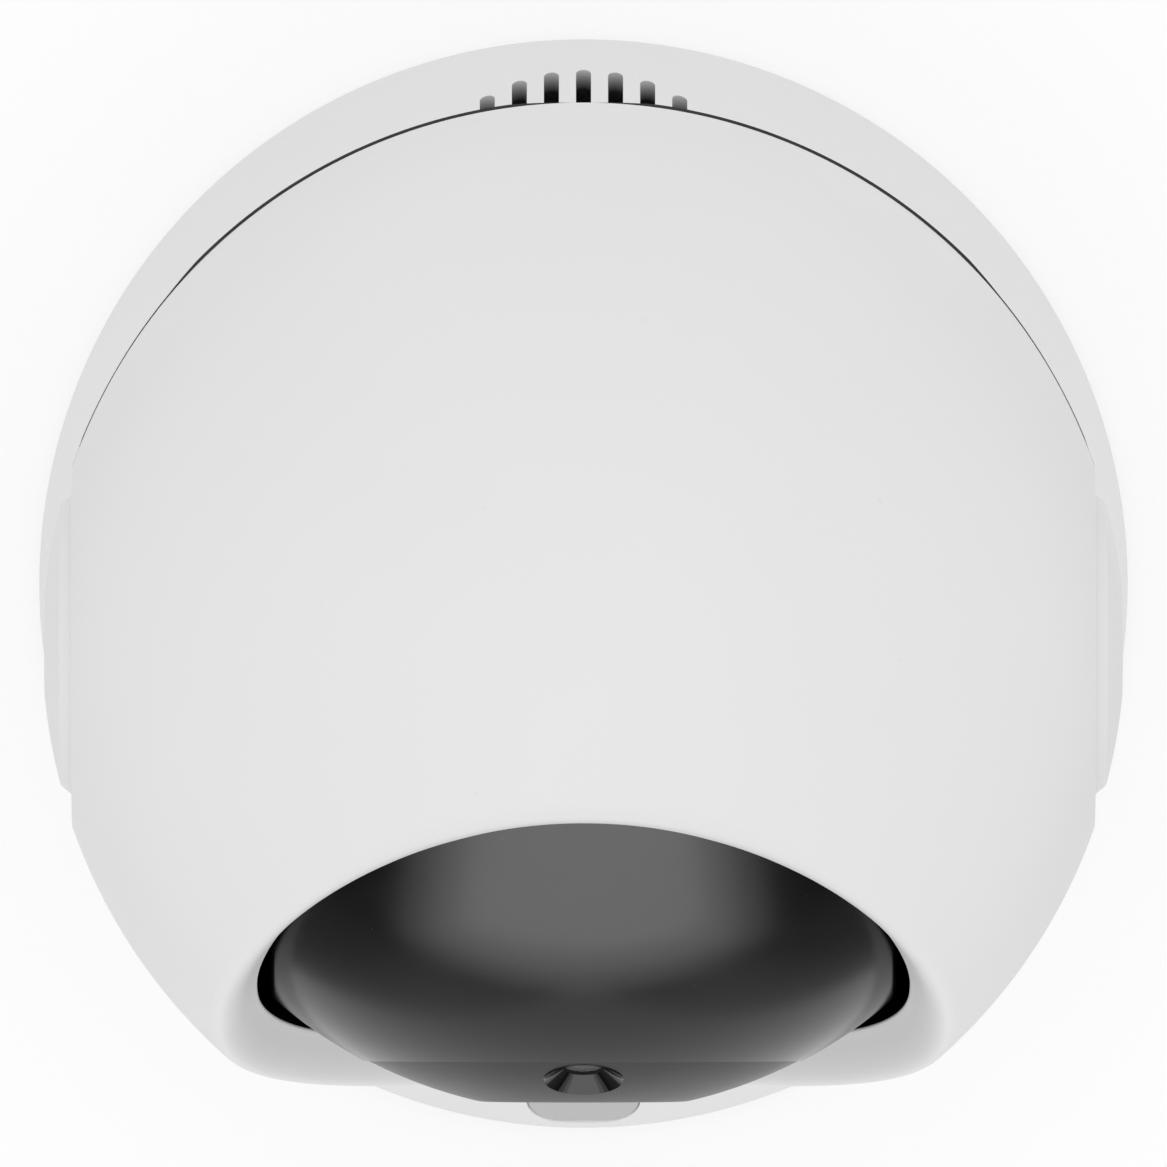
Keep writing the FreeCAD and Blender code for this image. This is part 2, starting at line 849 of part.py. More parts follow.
def pan_motor():
    can = disc(pan_motor_radius, pan_motor_x, pan_y, pan_motor_bottom_z, pan_motor_top_z)
    boss = disc(motor_boss_radius, pan_motor_x, pan_y, pan_motor_top_z, pan_boss_top_z)
    tab_low = pan_motor_top_z - motor_tab_thickness
    bar = block(V(pan_motor_x - motor_tab_half_width, pan_y - motor_tab_reach, tab_low),
                V(pan_motor_x + motor_tab_half_width, pan_y + motor_tab_reach, pan_motor_top_z))
    ears = [disc(motor_tab_half_width, pan_motor_x, pan_y + side * motor_tab_reach,
                 tab_low, pan_motor_top_z) for side in (-1, 1)]
    motor = merged([can, boss, bar] + ears)
    for side in (-1, 1):
        y = pan_y + side * motor_tab_reach
        motor = motor.cut(disc(screw_shank_radius + screw_hole_clearance, pan_motor_x, y,
                               tab_low, pan_motor_top_z))
    shaft_hole = motor_shaft_radius + motor_shaft_clearance
    bottom = pan_boss_top_z - motor_shaft_depth - thrust_gap
    return motor.cut(disc(shaft_hole, pan_motor_x, pan_y, bottom, pan_boss_top_z))


def motor_screws():
    screws = [small_screw(V(pan_motor_x, pan_y + side * motor_tab_reach, pan_motor_top_z),
                          V(0, 0, -1), motor_screw_length) for side in (-1, 1)]
    return Part.makeCompound(screws)


def pan_bushing():
    inner = spindle_radius + bearing_clearance
    outer = inner + pan_bushing_wall
    flange_bottom = head_floor_z - spindle_flange_thickness
    return tube(outer, inner, 0, pan_y, pan_bushing_bottom_z, flange_bottom - thrust_gap)


def reset_button():
    flange_low = cover_top_z + thrust_gap
    shaft = disc(button_radius, button_x, button_y, button_bottom_z, flange_low)
    flange = disc(button_flange_radius, button_x, button_y, flange_low,
                  flange_low + button_flange_thickness)
    return shaft.fuse(flange).removeSplitter()


def pan_pinion():
    gear = gear_blank(pinion_teeth, pan_pinion_top_z - pan_pinion_bottom_z, math.pi)
    gear.translate(V(pan_motor_x, pan_y, pan_pinion_bottom_z))
    shaft = disc(motor_shaft_radius, pan_motor_x, pan_y,
                 pan_boss_top_z - motor_shaft_depth, pan_pinion_top_z)
    return gear.fuse(shaft).removeSplitter()


# Head

def lip_forward(up):
    """How far forward the opening's outer lip stands at a height."""
    lean = math.radians(lip_lean_deg)
    line_start = lip_arc_start_up + lip_arc_radius * math.sin(lean)
    if up <= lip_arc_start_up:
        return lip_forward_max
    if up <= line_start:
        rise = up - lip_arc_start_up
        return lip_forward_max - lip_arc_radius + math.sqrt(lip_arc_radius ** 2 - rise ** 2)
    line_forward = lip_forward_max - lip_arc_radius * (1 - math.cos(lean))
    return line_forward - (up - line_start) * math.tan(lean)


def opening_end(radius, setback, sign):
    """Height of the opening's top or bottom on a sphere about the tilt centre."""
    low, high = 0.0, radius
    for _ in range(60):
        middle = (low + high) / 2
        if math.hypot(lip_forward(sign * middle) - setback, middle) < radius:
            low = middle
        else:
            high = middle
    return sign * low


def opening_wire(radius, setback, flat_forward=None):
    """The opening's outline on a sphere, or that outline moved to an upright plane."""
    top = opening_end(radius, setback, 1)
    bottom = opening_end(radius, setback, -1)
    count = 40
    points = []
    for i in range(count):
        turn = 2 * math.pi * i / count
        up = (top + bottom) / 2 + (top - bottom) / 2 * math.cos(turn)
        forward = lip_forward(up) - setback
        across = math.sqrt(max(0.0, radius ** 2 - forward ** 2 - up ** 2))
        x = across if math.sin(turn) > 0 else -across
        points.append(at(x, forward if flat_forward is None else flat_forward, up))
    curve = Part.BSplineCurve()
    curve.interpolate(Points=points, PeriodicFlag=True)
    return Part.Wire([curve.toShape()])


def opening_plug():
    """The space of the front opening; its flared edge runs on past both skins."""
    depth = head_radius - opening_inner_radius
    outer = head_radius + opening_overrun
    inner = opening_inner_radius - opening_overrun
    outer_setback = -opening_setback * opening_overrun / depth
    inner_setback = opening_setback * (1 + opening_overrun / depth)
    wires = [opening_wire(outer, outer_setback, plug_front_forward),
             opening_wire(outer, outer_setback),
             opening_wire(inner, inner_setback),
             opening_wire(inner, inner_setback, plug_back_forward)]
    return Part.makeLoft(wires, True, True)


def lip_region():
    """Everything in front of the inner edge of the opening's return flange."""
    setback = opening_setback + opening_flange_width
    reach = head_radius + opening_overrun
    heights = [reach * i / 4 for i in range(-4, 5)]
    points = [(far, -reach)] + [(lip_forward(up) - setback, up) for up in heights]
    return side_prism(points + [(far, reach)], far)


def seam_region(shift):
    """Everything above the parting line, which is moved up or down by the shift."""
    points = [(forward, up + shift) for forward, up in seam_points]
    first_forward = seam_points[0][0]
    last_forward = seam_points[-1][0]
    return side_prism([(first_forward, far)] + points + [(last_forward, far)], far)


def head_body():
    """Both head shells as one, without the opening."""
    outer = ball_solid(head_radius).common(slab_x(-head_flat_x, head_flat_x))
    above_floor = block(V(-far, -far, head_floor_z), V(far, far, far))
    outer = outer.common(above_floor)
    space = ball_solid(head_radius - head_wall)
    space = space.common(slab_x(-head_flat_inner_x, head_flat_inner_x))
    floor_top = head_floor_z + head_floor_thickness
    space = space.common(block(V(-far, -far, floor_top), V(far, far, far)))
    space = space.cut(lip_region())
    small_space = ball_solid(opening_inner_radius)
    return outer.cut(space).cut(small_space.common(block(V(-far, -far, floor_top),
                                                         V(far, far, far))))


def seam_groove():
    layer = ball_solid(head_radius + 1).cut(ball_solid(head_radius - seam_depth))
    line = seam_region(-seam_width / 2).cut(seam_region(seam_width / 2))
    return layer.common(line)


def peg_positions():
    return [(side * side_cap_peg_spacing / 2, 0.0) for side in (-1, 1)]


def cut_peg_holes(shell):
    for side in (-1, 1):
        for forward, up in peg_positions():
            start = at(side * (head_flat_x - peg_hole_depth), forward, up)
            shell = shell.cut(cylinder(side_cap_peg_radius + peg_clearance, start,
                                       V(side, 0, 0), peg_hole_depth))
    return shell


def head_shell_upper():
    shell = head_body().common(seam_region(0)).cut(opening_plug()).cut(seam_groove())
    for side in (-1, 1):
        direction = V(side, 0, 0)
        for forward in (-shell_pillar_forward, shell_pillar_forward):
            start = at(side * head_flat_inner_x, forward, shell_pillar_up)
            shell = shell.cut(cylinder(screw_shank_radius + screw_hole_clearance, start,
                                       direction, peg_hole_depth))
            seat = at(side * shell_screw_seat_x, forward, shell_pillar_up)
            shell = shell.cut(cylinder(screw_head_radius + screw_seat_clearance, seat,
                                       direction, peg_hole_depth))
    return cut_peg_holes(shell)


def motor_rib():
    """The wall that carries the tilt motor, square to the line from the tilt axis."""
    radial = side_direction(tilt_motor_deg)
    across = side_direction(tilt_motor_deg + 90)
    corners = [(motor_rib_near, -1), (head_radius, -1), (head_radius, 1), (motor_rib_near, 1)]
    points = []
    for distance, side in corners:
        point = tilt_centre.add(V(radial).multiply(distance))
        point = point.add(V(across).multiply(side * motor_rib_half_width))
        points.append(V(motor_rib_inner_x, point.y, point.z))
    points.append(points[0])
    rib = Part.Face(Part.makePolygon(points)).extrude(V(motor_rib_thickness, 0, 0))
    hole_start = V(motor_rib_inner_x, tilt_motor_centre.y, tilt_motor_centre.z)
    return rib.cut(cylinder(motor_boss_hole_radius, hole_start, X, motor_rib_thickness))


def arm_pillar(side, forward):
    start = at(side * tilt_arm_outer_x, forward, arm_pillar_up)
    return cylinder(arm_pillar_radius, start, V(side, 0, 0), arm_pillar_length)


def head_shell_lower():
    shell = head_body().cut(seam_region(0)).cut(opening_plug()).cut(seam_groove())
    envelope = ball_solid(head_radius - head_wall / 2).cut(seam_region(0))
    pillars = [arm_pillar(side, forward) for side in (-1, 1)
               for forward in (-arm_pillar_forward, arm_pillar_forward)]
    extras = [shape.common(envelope) for shape in [motor_rib()] + pillars]
    shell = merged([shell] + extras)
    floor_top = head_floor_z + head_floor_thickness
    shell = shell.cut(disc(spindle_radius + spindle_hole_clearance, 0, pan_y, 0, floor_top))
    for x, y in spindle_screw_positions():
        shell = shell.cut(disc(screw_shank_radius, x, y, 0, head_floor_z + spindle_screw_depth))
    for side in (-1, 1):
        for forward in (-arm_pillar_forward, arm_pillar_forward):
            start = at(side * tilt_arm_outer_x, forward, arm_pillar_up)
            shell = shell.cut(cylinder(screw_shank_radius, start, V(side, 0, 0),
                                       peg_hole_depth))
    return cut_peg_holes(shell)


def side_cap():
    """The cap on the right flat; the left one is its mirror image."""
    start = at(head_flat_x, 0, 0)
    height = side_cap_top_x - head_flat_x
    body = cylinder(side_cap_radius, start, X, height)
    body = body.common(ball_solid(side_cap_crown_radius))
    rim = cylinder(side_cap_radius, start, X, side_cap_rim_height)
    cone = Part.makeCone(side_cap_radius, side_cap_radius - height * side_cap_chamfer_slope,
                         height, along(start, X, side_cap_rim_height), X)
    body = body.common(cone.fuse(rim))
    pegs = [cylinder(side_cap_peg_radius, at(head_flat_x, forward, up), V(-1, 0, 0),
                     side_cap_peg_length) for forward, up in peg_positions()]
    return merged([body] + pegs)


def shell_screws():
    screws = []
    for side in (-1, 1):
        for forward in (-shell_pillar_forward, shell_pillar_forward):
            seat = at(side * shell_screw_seat_x, forward, shell_pillar_up)
            screws.append(small_screw(seat, V(-side, 0, 0), shell_screw_length))
    return Part.makeCompound(screws)


def spindle_screw_positions():
    positions = []
    for i in range(spindle_screw_count):
        angle = math.radians(90 + 360 / spindle_screw_count * i)
        positions.append((spindle_screw_circle * math.cos(angle),
                          pan_y + spindle_screw_circle * math.sin(angle)))
    return positions


def pan_spindle():
    flange_bottom = head_floor_z - spindle_flange_thickness
    body = disc(spindle_flange_radius, 0, pan_y, flange_bottom, head_floor_z)
    body = merged([body, disc(spindle_radius, 0, pan_y, spindle_bottom_z, head_floor_z)])
    body = body.cut(disc(spindle_bore_radius, 0, pan_y, 0, head_floor_z))
    for x, y in spindle_screw_positions():
        body = body.cut(disc(screw_shank_radius + screw_hole_clearance, x, y, flange_bottom,
                             head_floor_z))
        body = body.cut(disc(spindle_screw_head_radius + screw_hole_clearance, x, y,
                             flange_bottom, spindle_screw_seat_z))
    return body


def spindle_screws():
    screws = [screw(V(x, y, spindle_screw_seat_z), Z, spindle_screw_length,
                    screw_shank_radius, spindle_screw_head_radius, screw_head_height)
              for x, y in spindle_screw_positions()]
    return Part.makeCompound(screws)


def pan_gear():
    blank = gear_blank(pan_gear_teeth, pan_gear_top_z - pan_gear_bottom_z,
                       math.pi / pan_gear_teeth)
    blank.translate(V(0, pan_y, pan_gear_bottom_z))
    return blank.cut(disc(spindle_radius, 0, pan_y, 0, tilt_axis_z))


def gear_clip():
    return tube(gear_clip_radius, spindle_radius, 0, pan_y, spindle_bottom_z, pan_gear_bottom_z)


def tilt_arm():
    """The right arm; the left one is its mirror image."""
    centre = at(tilt_arm_inner_x, 0, 0)
    head = cylinder(tilt_arm_head_radius, centre, X, tilt_arm_thickness)
    outline = [(-tilt_arm_foot_half_width, tilt_arm_foot_bottom_up),
               (-tilt_arm_foot_half_width, tilt_arm_foot_up),
               (-tilt_arm_head_radius, 0), (tilt_arm_head_radius, 0),
               (tilt_arm_foot_half_width, tilt_arm_foot_up),
               (tilt_arm_foot_half_width, tilt_arm_foot_bottom_up)]
    points = [at(tilt_arm_inner_x, forward, up) for forward, up in outline]
    points.append(points[0])
    leg = Part.Face(Part.makePolygon(points)).extrude(V(tilt_arm_thickness, 0, 0))
    leg = leg.common(ball_solid(head_radius - head_wall - tilt_arm_shell_gap))
    pillar_start_x = tilt_arm_outer_x - pillar_root
    pillars = [cylinder(shell_pillar_radius, at(pillar_start_x, forward, shell_pillar_up), X,
                        head_flat_inner_x - pillar_start_x)
               for forward in (-shell_pillar_forward, shell_pillar_forward)]
    arm = merged([head, leg] + pillars)
    bushing_outer = trunnion_radius + bearing_clearance + bushing_wall
    arm = arm.cut(cylinder(bushing_outer, centre, X, tilt_arm_thickness))
    for forward in (-arm_pillar_forward, arm_pillar_forward):
        start = at(tilt_arm_inner_x, forward, arm_pillar_up)
        arm = arm.cut(cylinder(screw_shank_radius + screw_hole_clearance, start, X,
                               tilt_arm_thickness))
        arm = arm.cut(cylinder(screw_head_radius + screw_seat_clearance, start, X,
                               screw_head_height + screw_sink))
    for forward in (-shell_pillar_forward, shell_pillar_forward):
        start = at(head_flat_inner_x, forward, shell_pillar_up)
        arm = arm.cut(cylinder(screw_shank_radius, start, V(-1, 0, 0), pillar_hole_depth))
    return arm


def arm_screws():
    screws = []
    for side in (-1, 1):
        for forward in (-arm_pillar_forward, arm_pillar_forward):
            seat = at(side * (tilt_arm_inner_x + screw_head_height + screw_sink), forward,
                      arm_pillar_up)
            screws.append(small_screw(seat, V(side, 0, 0), arm_screw_length))
    return Part.makeCompound(screws)


def tilt_bushings():
    inner = trunnion_radius + bearing_clearance
    outer = inner + bushing_wall
    bushings = []
    for side in (-1, 1):
        direction = V(side, 0, 0)
        start = at(side * tilt_arm_inner_x, 0, 0)
        sleeve = cylinder(outer, start, direction, tilt_arm_thickness)
        flange_start = at(side * (tilt_arm_inner_x - bushing_flange_thickness), 0, 0)
        flange = cylinder(bushing_flange_radius, flange_start, direction,
                          bushing_flange_thickness)
        bushing = merged([sleeve, flange])
        bushings.append(bushing.cut(cylinder(inner, flange_start, direction, head_radius)))
    return Part.makeCompound(bushings)


def tilt_motor():
    centre = tilt_motor_centre
    face_x = motor_rib_inner_x
    can = cylinder(tilt_motor_radius, V(face_x, centre.y, centre.z), V(-1, 0, 0),
                   tilt_motor_length)
    boss = cylinder(motor_boss_radius, V(face_x, centre.y, centre.z), X, motor_boss_height)
    motor = merged([can, boss])
    shaft_hole = motor_shaft_radius + motor_shaft_clearance
    depth = motor_shaft_depth + thrust_gap
    start = V(face_x + motor_boss_height, centre.y, centre.z)
    return motor.cut(cylinder(shaft_hole, start, V(-1, 0, 0), depth))


def tilt_pinion():
    blank = gear_blank(pinion_teeth, tilt_pinion_length, math.radians(tilt_motor_deg + 180))
    blank.Placement = side_view_placement(tilt_motor_centre,
                                          tilt_pinion_start_x + tilt_pinion_length)
    shaft_start = motor_rib_inner_x + motor_boss_height - motor_shaft_depth
    shaft = cylinder(motor_shaft_radius,
                     V(shaft_start, tilt_motor_centre.y, tilt_motor_centre.z), X,
                     tilt_pinion_start_x + tilt_pinion_length - shaft_start)
    return blank.fuse(shaft).removeSplitter()


# Ball

second_axis = side_direction(second_lens_deg)


def along_second(distance):
    return tilt_centre.add(V(second_axis).multiply(distance))


def ball_shell():
    outer = ball_solid(ball_radius).common(slab_x(-ball_half_width, ball_half_width))
    outer = outer.common(forward_block(ball_back_forward, cap_seat_forward))
    space = ball_solid(ball_radius - ball_wall)
    space = space.common(slab_x(-ball_inner_half_width, ball_inner_half_width))
    space = space.common(forward_block(-far, cap_seat_forward - ball_front_wall))
    seat = cylinder(second_seat_radius, along_second(second_seat_reach), second_axis,
                    second_seat_setback)
    seat = seat.common(forward_block(0, cap_seat_forward - ball_front_wall / 2))
    seat = seat.common(ball_solid(ball_radius - second_seat_trim))
    shell = merged([outer.cut(space), seat])
    shell = shell.cut(cylinder(main_barrel_hole_radius, tilt_centre, V(0, -1, 0), far))
    shell = shell.cut(cylinder(second_barrel_radius, tilt_centre, second_axis, far))
    for side in (-1, 1):
        start = at(side * trunnion_root_x, 0, 0)
        shell = shell.cut(cylinder(trunnion_spigot_radius, start, V(side, 0, 0), far))
        for forward, up in trunnion_screw_offsets():
            start = at(side * trunnion_root_x, forward, up)
            shell = shell.cut(cylinder(screw_shank_radius, start, V(side, 0, 0), far))
    return shell


def ball_back_cover():
    cover = ball_solid(ball_radius).common(slab_x(-ball_half_width, ball_half_width))
    return cover.common(forward_block(ball_back_forward - ball_cover_thickness,
                                      ball_back_forward))


def face_cap():
    dome = ball_solid(cap_radius).common(forward_block(cap_seat_forward, cap_front_forward))
    cap = dome.cut(ball_solid(cap_radius - cap_wall))
    start = at(0, cap_seat_forward, 0)
    cap = cap.cut(cylinder(window_radius, start, V(0, -1, 0), cap_radius))
    funnel_top = cap_radius + recess_overrun
    spread = (recess_outer_radius - recess_inner_radius) / recess_depth
    top_radius = recess_outer_radius + spread * recess_overrun
    bottom = cap_radius - recess_depth
    funnel = Part.makeCone(recess_inner_radius, top_radius, funnel_top - bottom,
                           along_second(bottom), second_axis)
    bore = cylinder(recess_inner_radius, along_second(second_seat_reach), second_axis,
                    second_seat_setback)
    return cap.cut(funnel).cut(bore)


def lens_window():
    return cylinder(window_radius, at(0, window_back_forward, 0), V(0, -1, 0),
                    window_thickness)


def main_lens_barrel():
    shoulder = main_barrel_front - main_barrel_tip_length
    body = cylinder(main_barrel_radius, at(0, main_barrel_back, 0), V(0, -1, 0),
                    shoulder - main_barrel_back)
    tip = Part.makeCone(main_barrel_radius, main_barrel_tip_radius, main_barrel_tip_length,
                        at(0, shoulder, 0), V(0, -1, 0))
    barrel = merged([body, tip])
    seat = main_barrel_front - main_glass_seat_depth
    return barrel.cut(cylinder(main_glass_radius, at(0, seat, 0), V(0, -1, 0),
                               main_glass_seat_depth))


def main_lens_glass():
    seat = main_barrel_front - main_glass_seat_depth
    top = main_barrel_front - main_glass_sink
    glass = cylinder(main_glass_radius, at(0, seat, 0), V(0, -1, 0), top - seat)
    crown_centre = at(0, top - main_glass_crown_radius, 0)
    return glass.common(Part.makeSphere(main_glass_crown_radius, crown_centre))


def main_lens_holder():
    front = cap_seat_forward - ball_front_wall
    half = main_holder_side / 2
    holder = block(at(-half, front, -half),
                   at(half, front - main_holder_length, main_holder_top_up))
    return holder.cut(cylinder(main_barrel_radius, tilt_centre, V(0, -1, 0), far))


def main_sensor_board():
    front = cap_seat_forward - ball_front_wall - main_holder_length
    front = min(front, main_barrel_back)
    half = main_board_side / 2
    return block(at(-half, front, -half), at(half, front - sensor_board_thickness, half))


def second_lens_barrel():
    barrel = cylinder(second_barrel_radius, along_second(second_barrel_back),
                      second_axis, second_barrel_length)
    trim = ball_solid(cap_radius - cap_wall)
    barrel = barrel.common(trim)
    flange = cylinder(second_flange_radius,
                      along_second(second_seat_reach - second_flange_thickness),
                      second_axis, second_flange_thickness)
    return merged([barrel, flange])


def second_lens_glass():
    return cylinder(recess_inner_radius, along_second(second_barrel_tip), second_axis,
                    second_glass_thickness)


def second_sensor_board():
    half = second_board_side / 2
    board = Part.makeBox(second_board_side, second_board_side, sensor_board_thickness,
                         V(-half, -half, -sensor_board_thickness))
    rotation = FreeCAD.Rotation(V(0, 0, 1), second_axis)
    board.Placement = FreeCAD.Placement(along_second(second_barrel_back), rotation)
    return board


def lamp_board():
    start = at(0, cap_seat_forward, 0)
    board = cylinder(lamp_board_outer_radius, start, V(0, -1, 0), lamp_board_thickness)
    return board.cut(cylinder(lamp_board_inner_radius, start, V(0, -1, 0),
                              lamp_board_thickness))


def night_lamps():
    lamps = []
    low = cap_seat_forward + lamp_board_thickness
    half = lamp_side / 2
    for i in range(lamp_count):
        angle = math.radians(360 / lamp_count * (i + 0.5))
        x = lamp_circle_radius * math.cos(angle)
        up = lamp_circle_radius * math.sin(angle)
        lamps.append(block(at(x - half, low + lamp_height, up - half),
                           at(x + half, low, up + half)))
    return Part.makeCompound(lamps)


def trunnion_screw_offsets():
    offsets = []
    for i in range(trunnion_screw_count):
        angle = 2 * math.pi * i / trunnion_screw_count
        offsets.append((trunnion_screw_circle * math.cos(angle),
                        trunnion_screw_circle * math.sin(angle)))
    return offsets


def cut_trunnion_holes(shape):
    for forward, up in trunnion_screw_offsets():
        shape = shape.cut(cylinder(screw_shank_radius + screw_hole_clearance,
                                   at(ball_inner_half_width, forward, up), X, far))
    return shape


def trunnion():
    """The right trunnion; the left one is its mirror image."""
    start = at(ball_half_width, 0, 0)
    flange = cylinder(trunnion_flange_radius, start, X, trunnion_flange_thickness)
    spigot = cylinder(trunnion_spigot_radius, at(ball_inner_half_width, 0, 0), X,
                      ball_side_wall)
    shaft = cylinder(trunnion_radius, start, X, trunnion_end_x - ball_half_width)
    body = merged([flange, spigot, shaft])
    body = body.cut(cylinder(trunnion_bore_radius, tilt_centre, X, far))
    return cut_trunnion_holes(body)


def trunnion_screws():
    screws = []
    for side in (-1, 1):
        seat_x = tilt_gear_x
        if side > 0:
            seat_x += tilt_gear_thickness
        length = seat_x - ball_inner_half_width + trunnion_screw_overrun
        for forward, up in trunnion_screw_offsets():
            screws.append(screw(at(side * seat_x, forward, up), V(-side, 0, 0), length,
                                screw_shank_radius, trunnion_screw_head_radius,
                                trunnion_screw_head_height))
    return Part.makeCompound(screws)


def tilt_gear():
    sector = sector_blank(tilt_gear_teeth, tilt_gear_thickness, tilt_sector_start_deg,
                          tilt_sector_end_deg, tilt_motor_deg)
    sector.Placement = side_view_placement(tilt_centre, tilt_gear_x + tilt_gear_thickness)
    start = at(tilt_gear_x, 0, 0)
    hub = cylinder(trunnion_flange_radius, start, X, tilt_gear_thickness)
    gear = merged([sector, hub])
    gear = gear.cut(cylinder(trunnion_radius, start, X, tilt_gear_thickness))
    return cut_trunnion_holes(gear)


def main():
    os.makedirs("parts", exist_ok=True)
    right_cap = side_cap()
    right_arm = tilt_arm()
    right_trunnion = trunnion()
    shapes = {
        "base_shell": base_shell(),
        "bottom_cover": bottom_cover(),
        "foot_ring": foot_ring(),
        "base_screws": base_screws(),
        "tripod_insert": tripod_insert(),
        "status_window": status_window(),
        "status_led": status_led(),
        "speaker_frame": speaker_frame(),
        "speaker_cone": speaker_cone(),
        "speaker_magnet": speaker_magnet(),
        "main_board": main_board(),
        "board_chips": board_chips(),
        "shield_can": shield_can(),
        "antenna_board": antenna_board(),
        "power_socket": power_socket(),
        "socket_tongue": socket_tongue(),
        "pan_motor": pan_motor(),
        "motor_screws": motor_screws(),
        "pan_bushing": pan_bushing(),
        "reset_switch": reset_switch(),
        "reset_button": reset_button(),
        "pan_pinion": pan_pinion(),
        "head_shell_upper": head_shell_upper(),
        "head_shell_lower": head_shell_lower(),
        "side_cap_right": right_cap,
        "side_cap_left": mirrored(right_cap),
        "shell_screws": shell_screws(),
        "pan_spindle": pan_spindle(),
        "spindle_screws": spindle_screws(),
        "pan_gear": pan_gear(),
        "gear_clip": gear_clip(),
        "tilt_arm_right": right_arm,
        "tilt_arm_left": mirrored(right_arm),
        "arm_screws": arm_screws(),
        "tilt_bushings": tilt_bushings(),
        "tilt_motor": tilt_motor(),
        "tilt_pinion": tilt_pinion(),
        "ball_shell": ball_shell(),
        "ball_back_cover": ball_back_cover(),
        "face_cap": face_cap(),
        "lens_window": lens_window(),
        "main_lens_barrel": main_lens_barrel(),
        "main_lens_glass": main_lens_glass(),
        "main_lens_holder": main_lens_holder(),
        "main_sensor_board": main_sensor_board(),
        "second_lens_barrel": second_lens_barrel(),
        "second_lens_glass": second_lens_glass(),
        "second_sensor_board": second_sensor_board(),
        "lamp_board": lamp_board(),
        "night_lamps": night_lamps(),
        "trunnion_right": right_trunnion,
        "trunnion_left": mirrored(right_trunnion),
        "trunnion_screws": trunnion_screws(),
        "tilt_gear": tilt_gear(),
    }
    for node, shape in shapes.items():
        save(shape, node)


main()
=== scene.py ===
import json
import math

import bmesh
import bpy
import mathutils
import numpy as np
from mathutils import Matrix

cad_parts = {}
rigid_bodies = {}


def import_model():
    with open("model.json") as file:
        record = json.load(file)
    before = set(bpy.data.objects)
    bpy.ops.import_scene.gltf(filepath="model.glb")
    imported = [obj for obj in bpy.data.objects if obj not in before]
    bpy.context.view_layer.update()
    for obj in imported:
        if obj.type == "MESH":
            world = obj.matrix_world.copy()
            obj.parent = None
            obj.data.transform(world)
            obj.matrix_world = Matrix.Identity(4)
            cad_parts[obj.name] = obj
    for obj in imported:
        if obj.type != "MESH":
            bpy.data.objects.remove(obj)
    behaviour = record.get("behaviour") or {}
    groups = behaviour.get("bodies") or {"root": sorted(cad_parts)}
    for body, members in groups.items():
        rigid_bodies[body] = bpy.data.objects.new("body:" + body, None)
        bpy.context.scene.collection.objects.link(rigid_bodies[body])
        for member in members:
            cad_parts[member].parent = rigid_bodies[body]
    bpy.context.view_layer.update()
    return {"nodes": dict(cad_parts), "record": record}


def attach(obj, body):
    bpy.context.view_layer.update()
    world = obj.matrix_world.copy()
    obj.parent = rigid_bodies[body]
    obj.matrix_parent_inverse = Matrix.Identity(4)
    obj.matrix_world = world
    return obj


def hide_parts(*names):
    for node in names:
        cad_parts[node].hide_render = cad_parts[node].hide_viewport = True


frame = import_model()

# Sizes in millimetres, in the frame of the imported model; one unit of the scene is a metre.
MM = 0.001
TIP = 0.001  # how near its axis a turned profile starts and ends
ON_SURFACE = 0.004  # how near a point lies to a surface that gives it its normal
# Cutters reach this far, past everything they cut.
CLEAR_ACROSS = 60.0
CLEAR_ALONG = 80.0
CLEAR_TOP = 150.0

# The base: a cone with a bowl on top, its slanted rim, the foot and the boss for the spindle
BASE_RADIUS = 45.0
SKIRT_SLOPE = math.radians(62.0)
SKIRT_BOTTOM = 0.8
CONE_START = 1.6
SKIRT_INSET = 2.4 / math.sin(SKIRT_SLOPE)  # its wall, measured level
SKIRT_EDGE = 0.3
BAND_EDGE = 0.6
RIM_EDGES = (0.35, 0.3, 0.25)
FOOT_INNER = 41.3
FOOT_PROFILE = [(36.45, 1.2), (36.45, 0.0), (39.95, 0.0), (39.95, 1.2), (38.2, 1.28)]
COVER_TOP = 2.8
RIM_DROP = 0.6
BOWL_RADIUS = 44.9
BOWL_WALL = 2.2
SPINDLE_HOLE = 9.96
RECESS_FLOOR = 29.4
SPINDLE_RECESS = 12.6
BOSS_RADIUS = 13.0
BOSS_BOTTOM = 20.2

# The sound slots, the status window and the power inlet in the base
SLOT_WIDTH = 1.24
SLOT_PITCH = 2.647
SLOT_COUNT = 9
# Depths over which the painted shade in the slots goes from pale to dark
SLOT_SHADE_DEPTH = (0.05, 1.6)
GRILLE_RADIUS = 13.4
GRILLE_Z = 19.85
GRILLE_REACH = (20.0, 60.0)
# Faces count as slot walls from this far back, within a margin aside and in depth.
WALLS_BACK = 15.0
WALLS_ASIDE = 0.6
WALLS_DEPTH = (0.02, 0.1)
PILL_HALF_WIDTH = 4.7
PILL_BOTTOM = 2.4
PILL_TOP = 8.0
PILL_DEPTH = 1.5
# How far in from the pill's outline, and how far behind its face
PILL_EDGE = [(0.0, 0.2), (0.08, 0.05), (0.22, 0.0)]
INLET_PAD = ((-39.1, -6.95, 3.85), (-37.0, 6.95, 11.75))
INLET_POCKET = [(-6.6, 4.2), (6.6, 4.2), (6.6, 11.4), (-6.6, 11.4)]
INLET_POCKET_EDGE = 0.8
INLET_POCKET_FLOOR = -38.8
INLET_MOUTH = (4.65, 1.75)
INLET_MOUTH_Z = 7.8
INLET_MOUTH_REACH = (-40.0, -30.0)

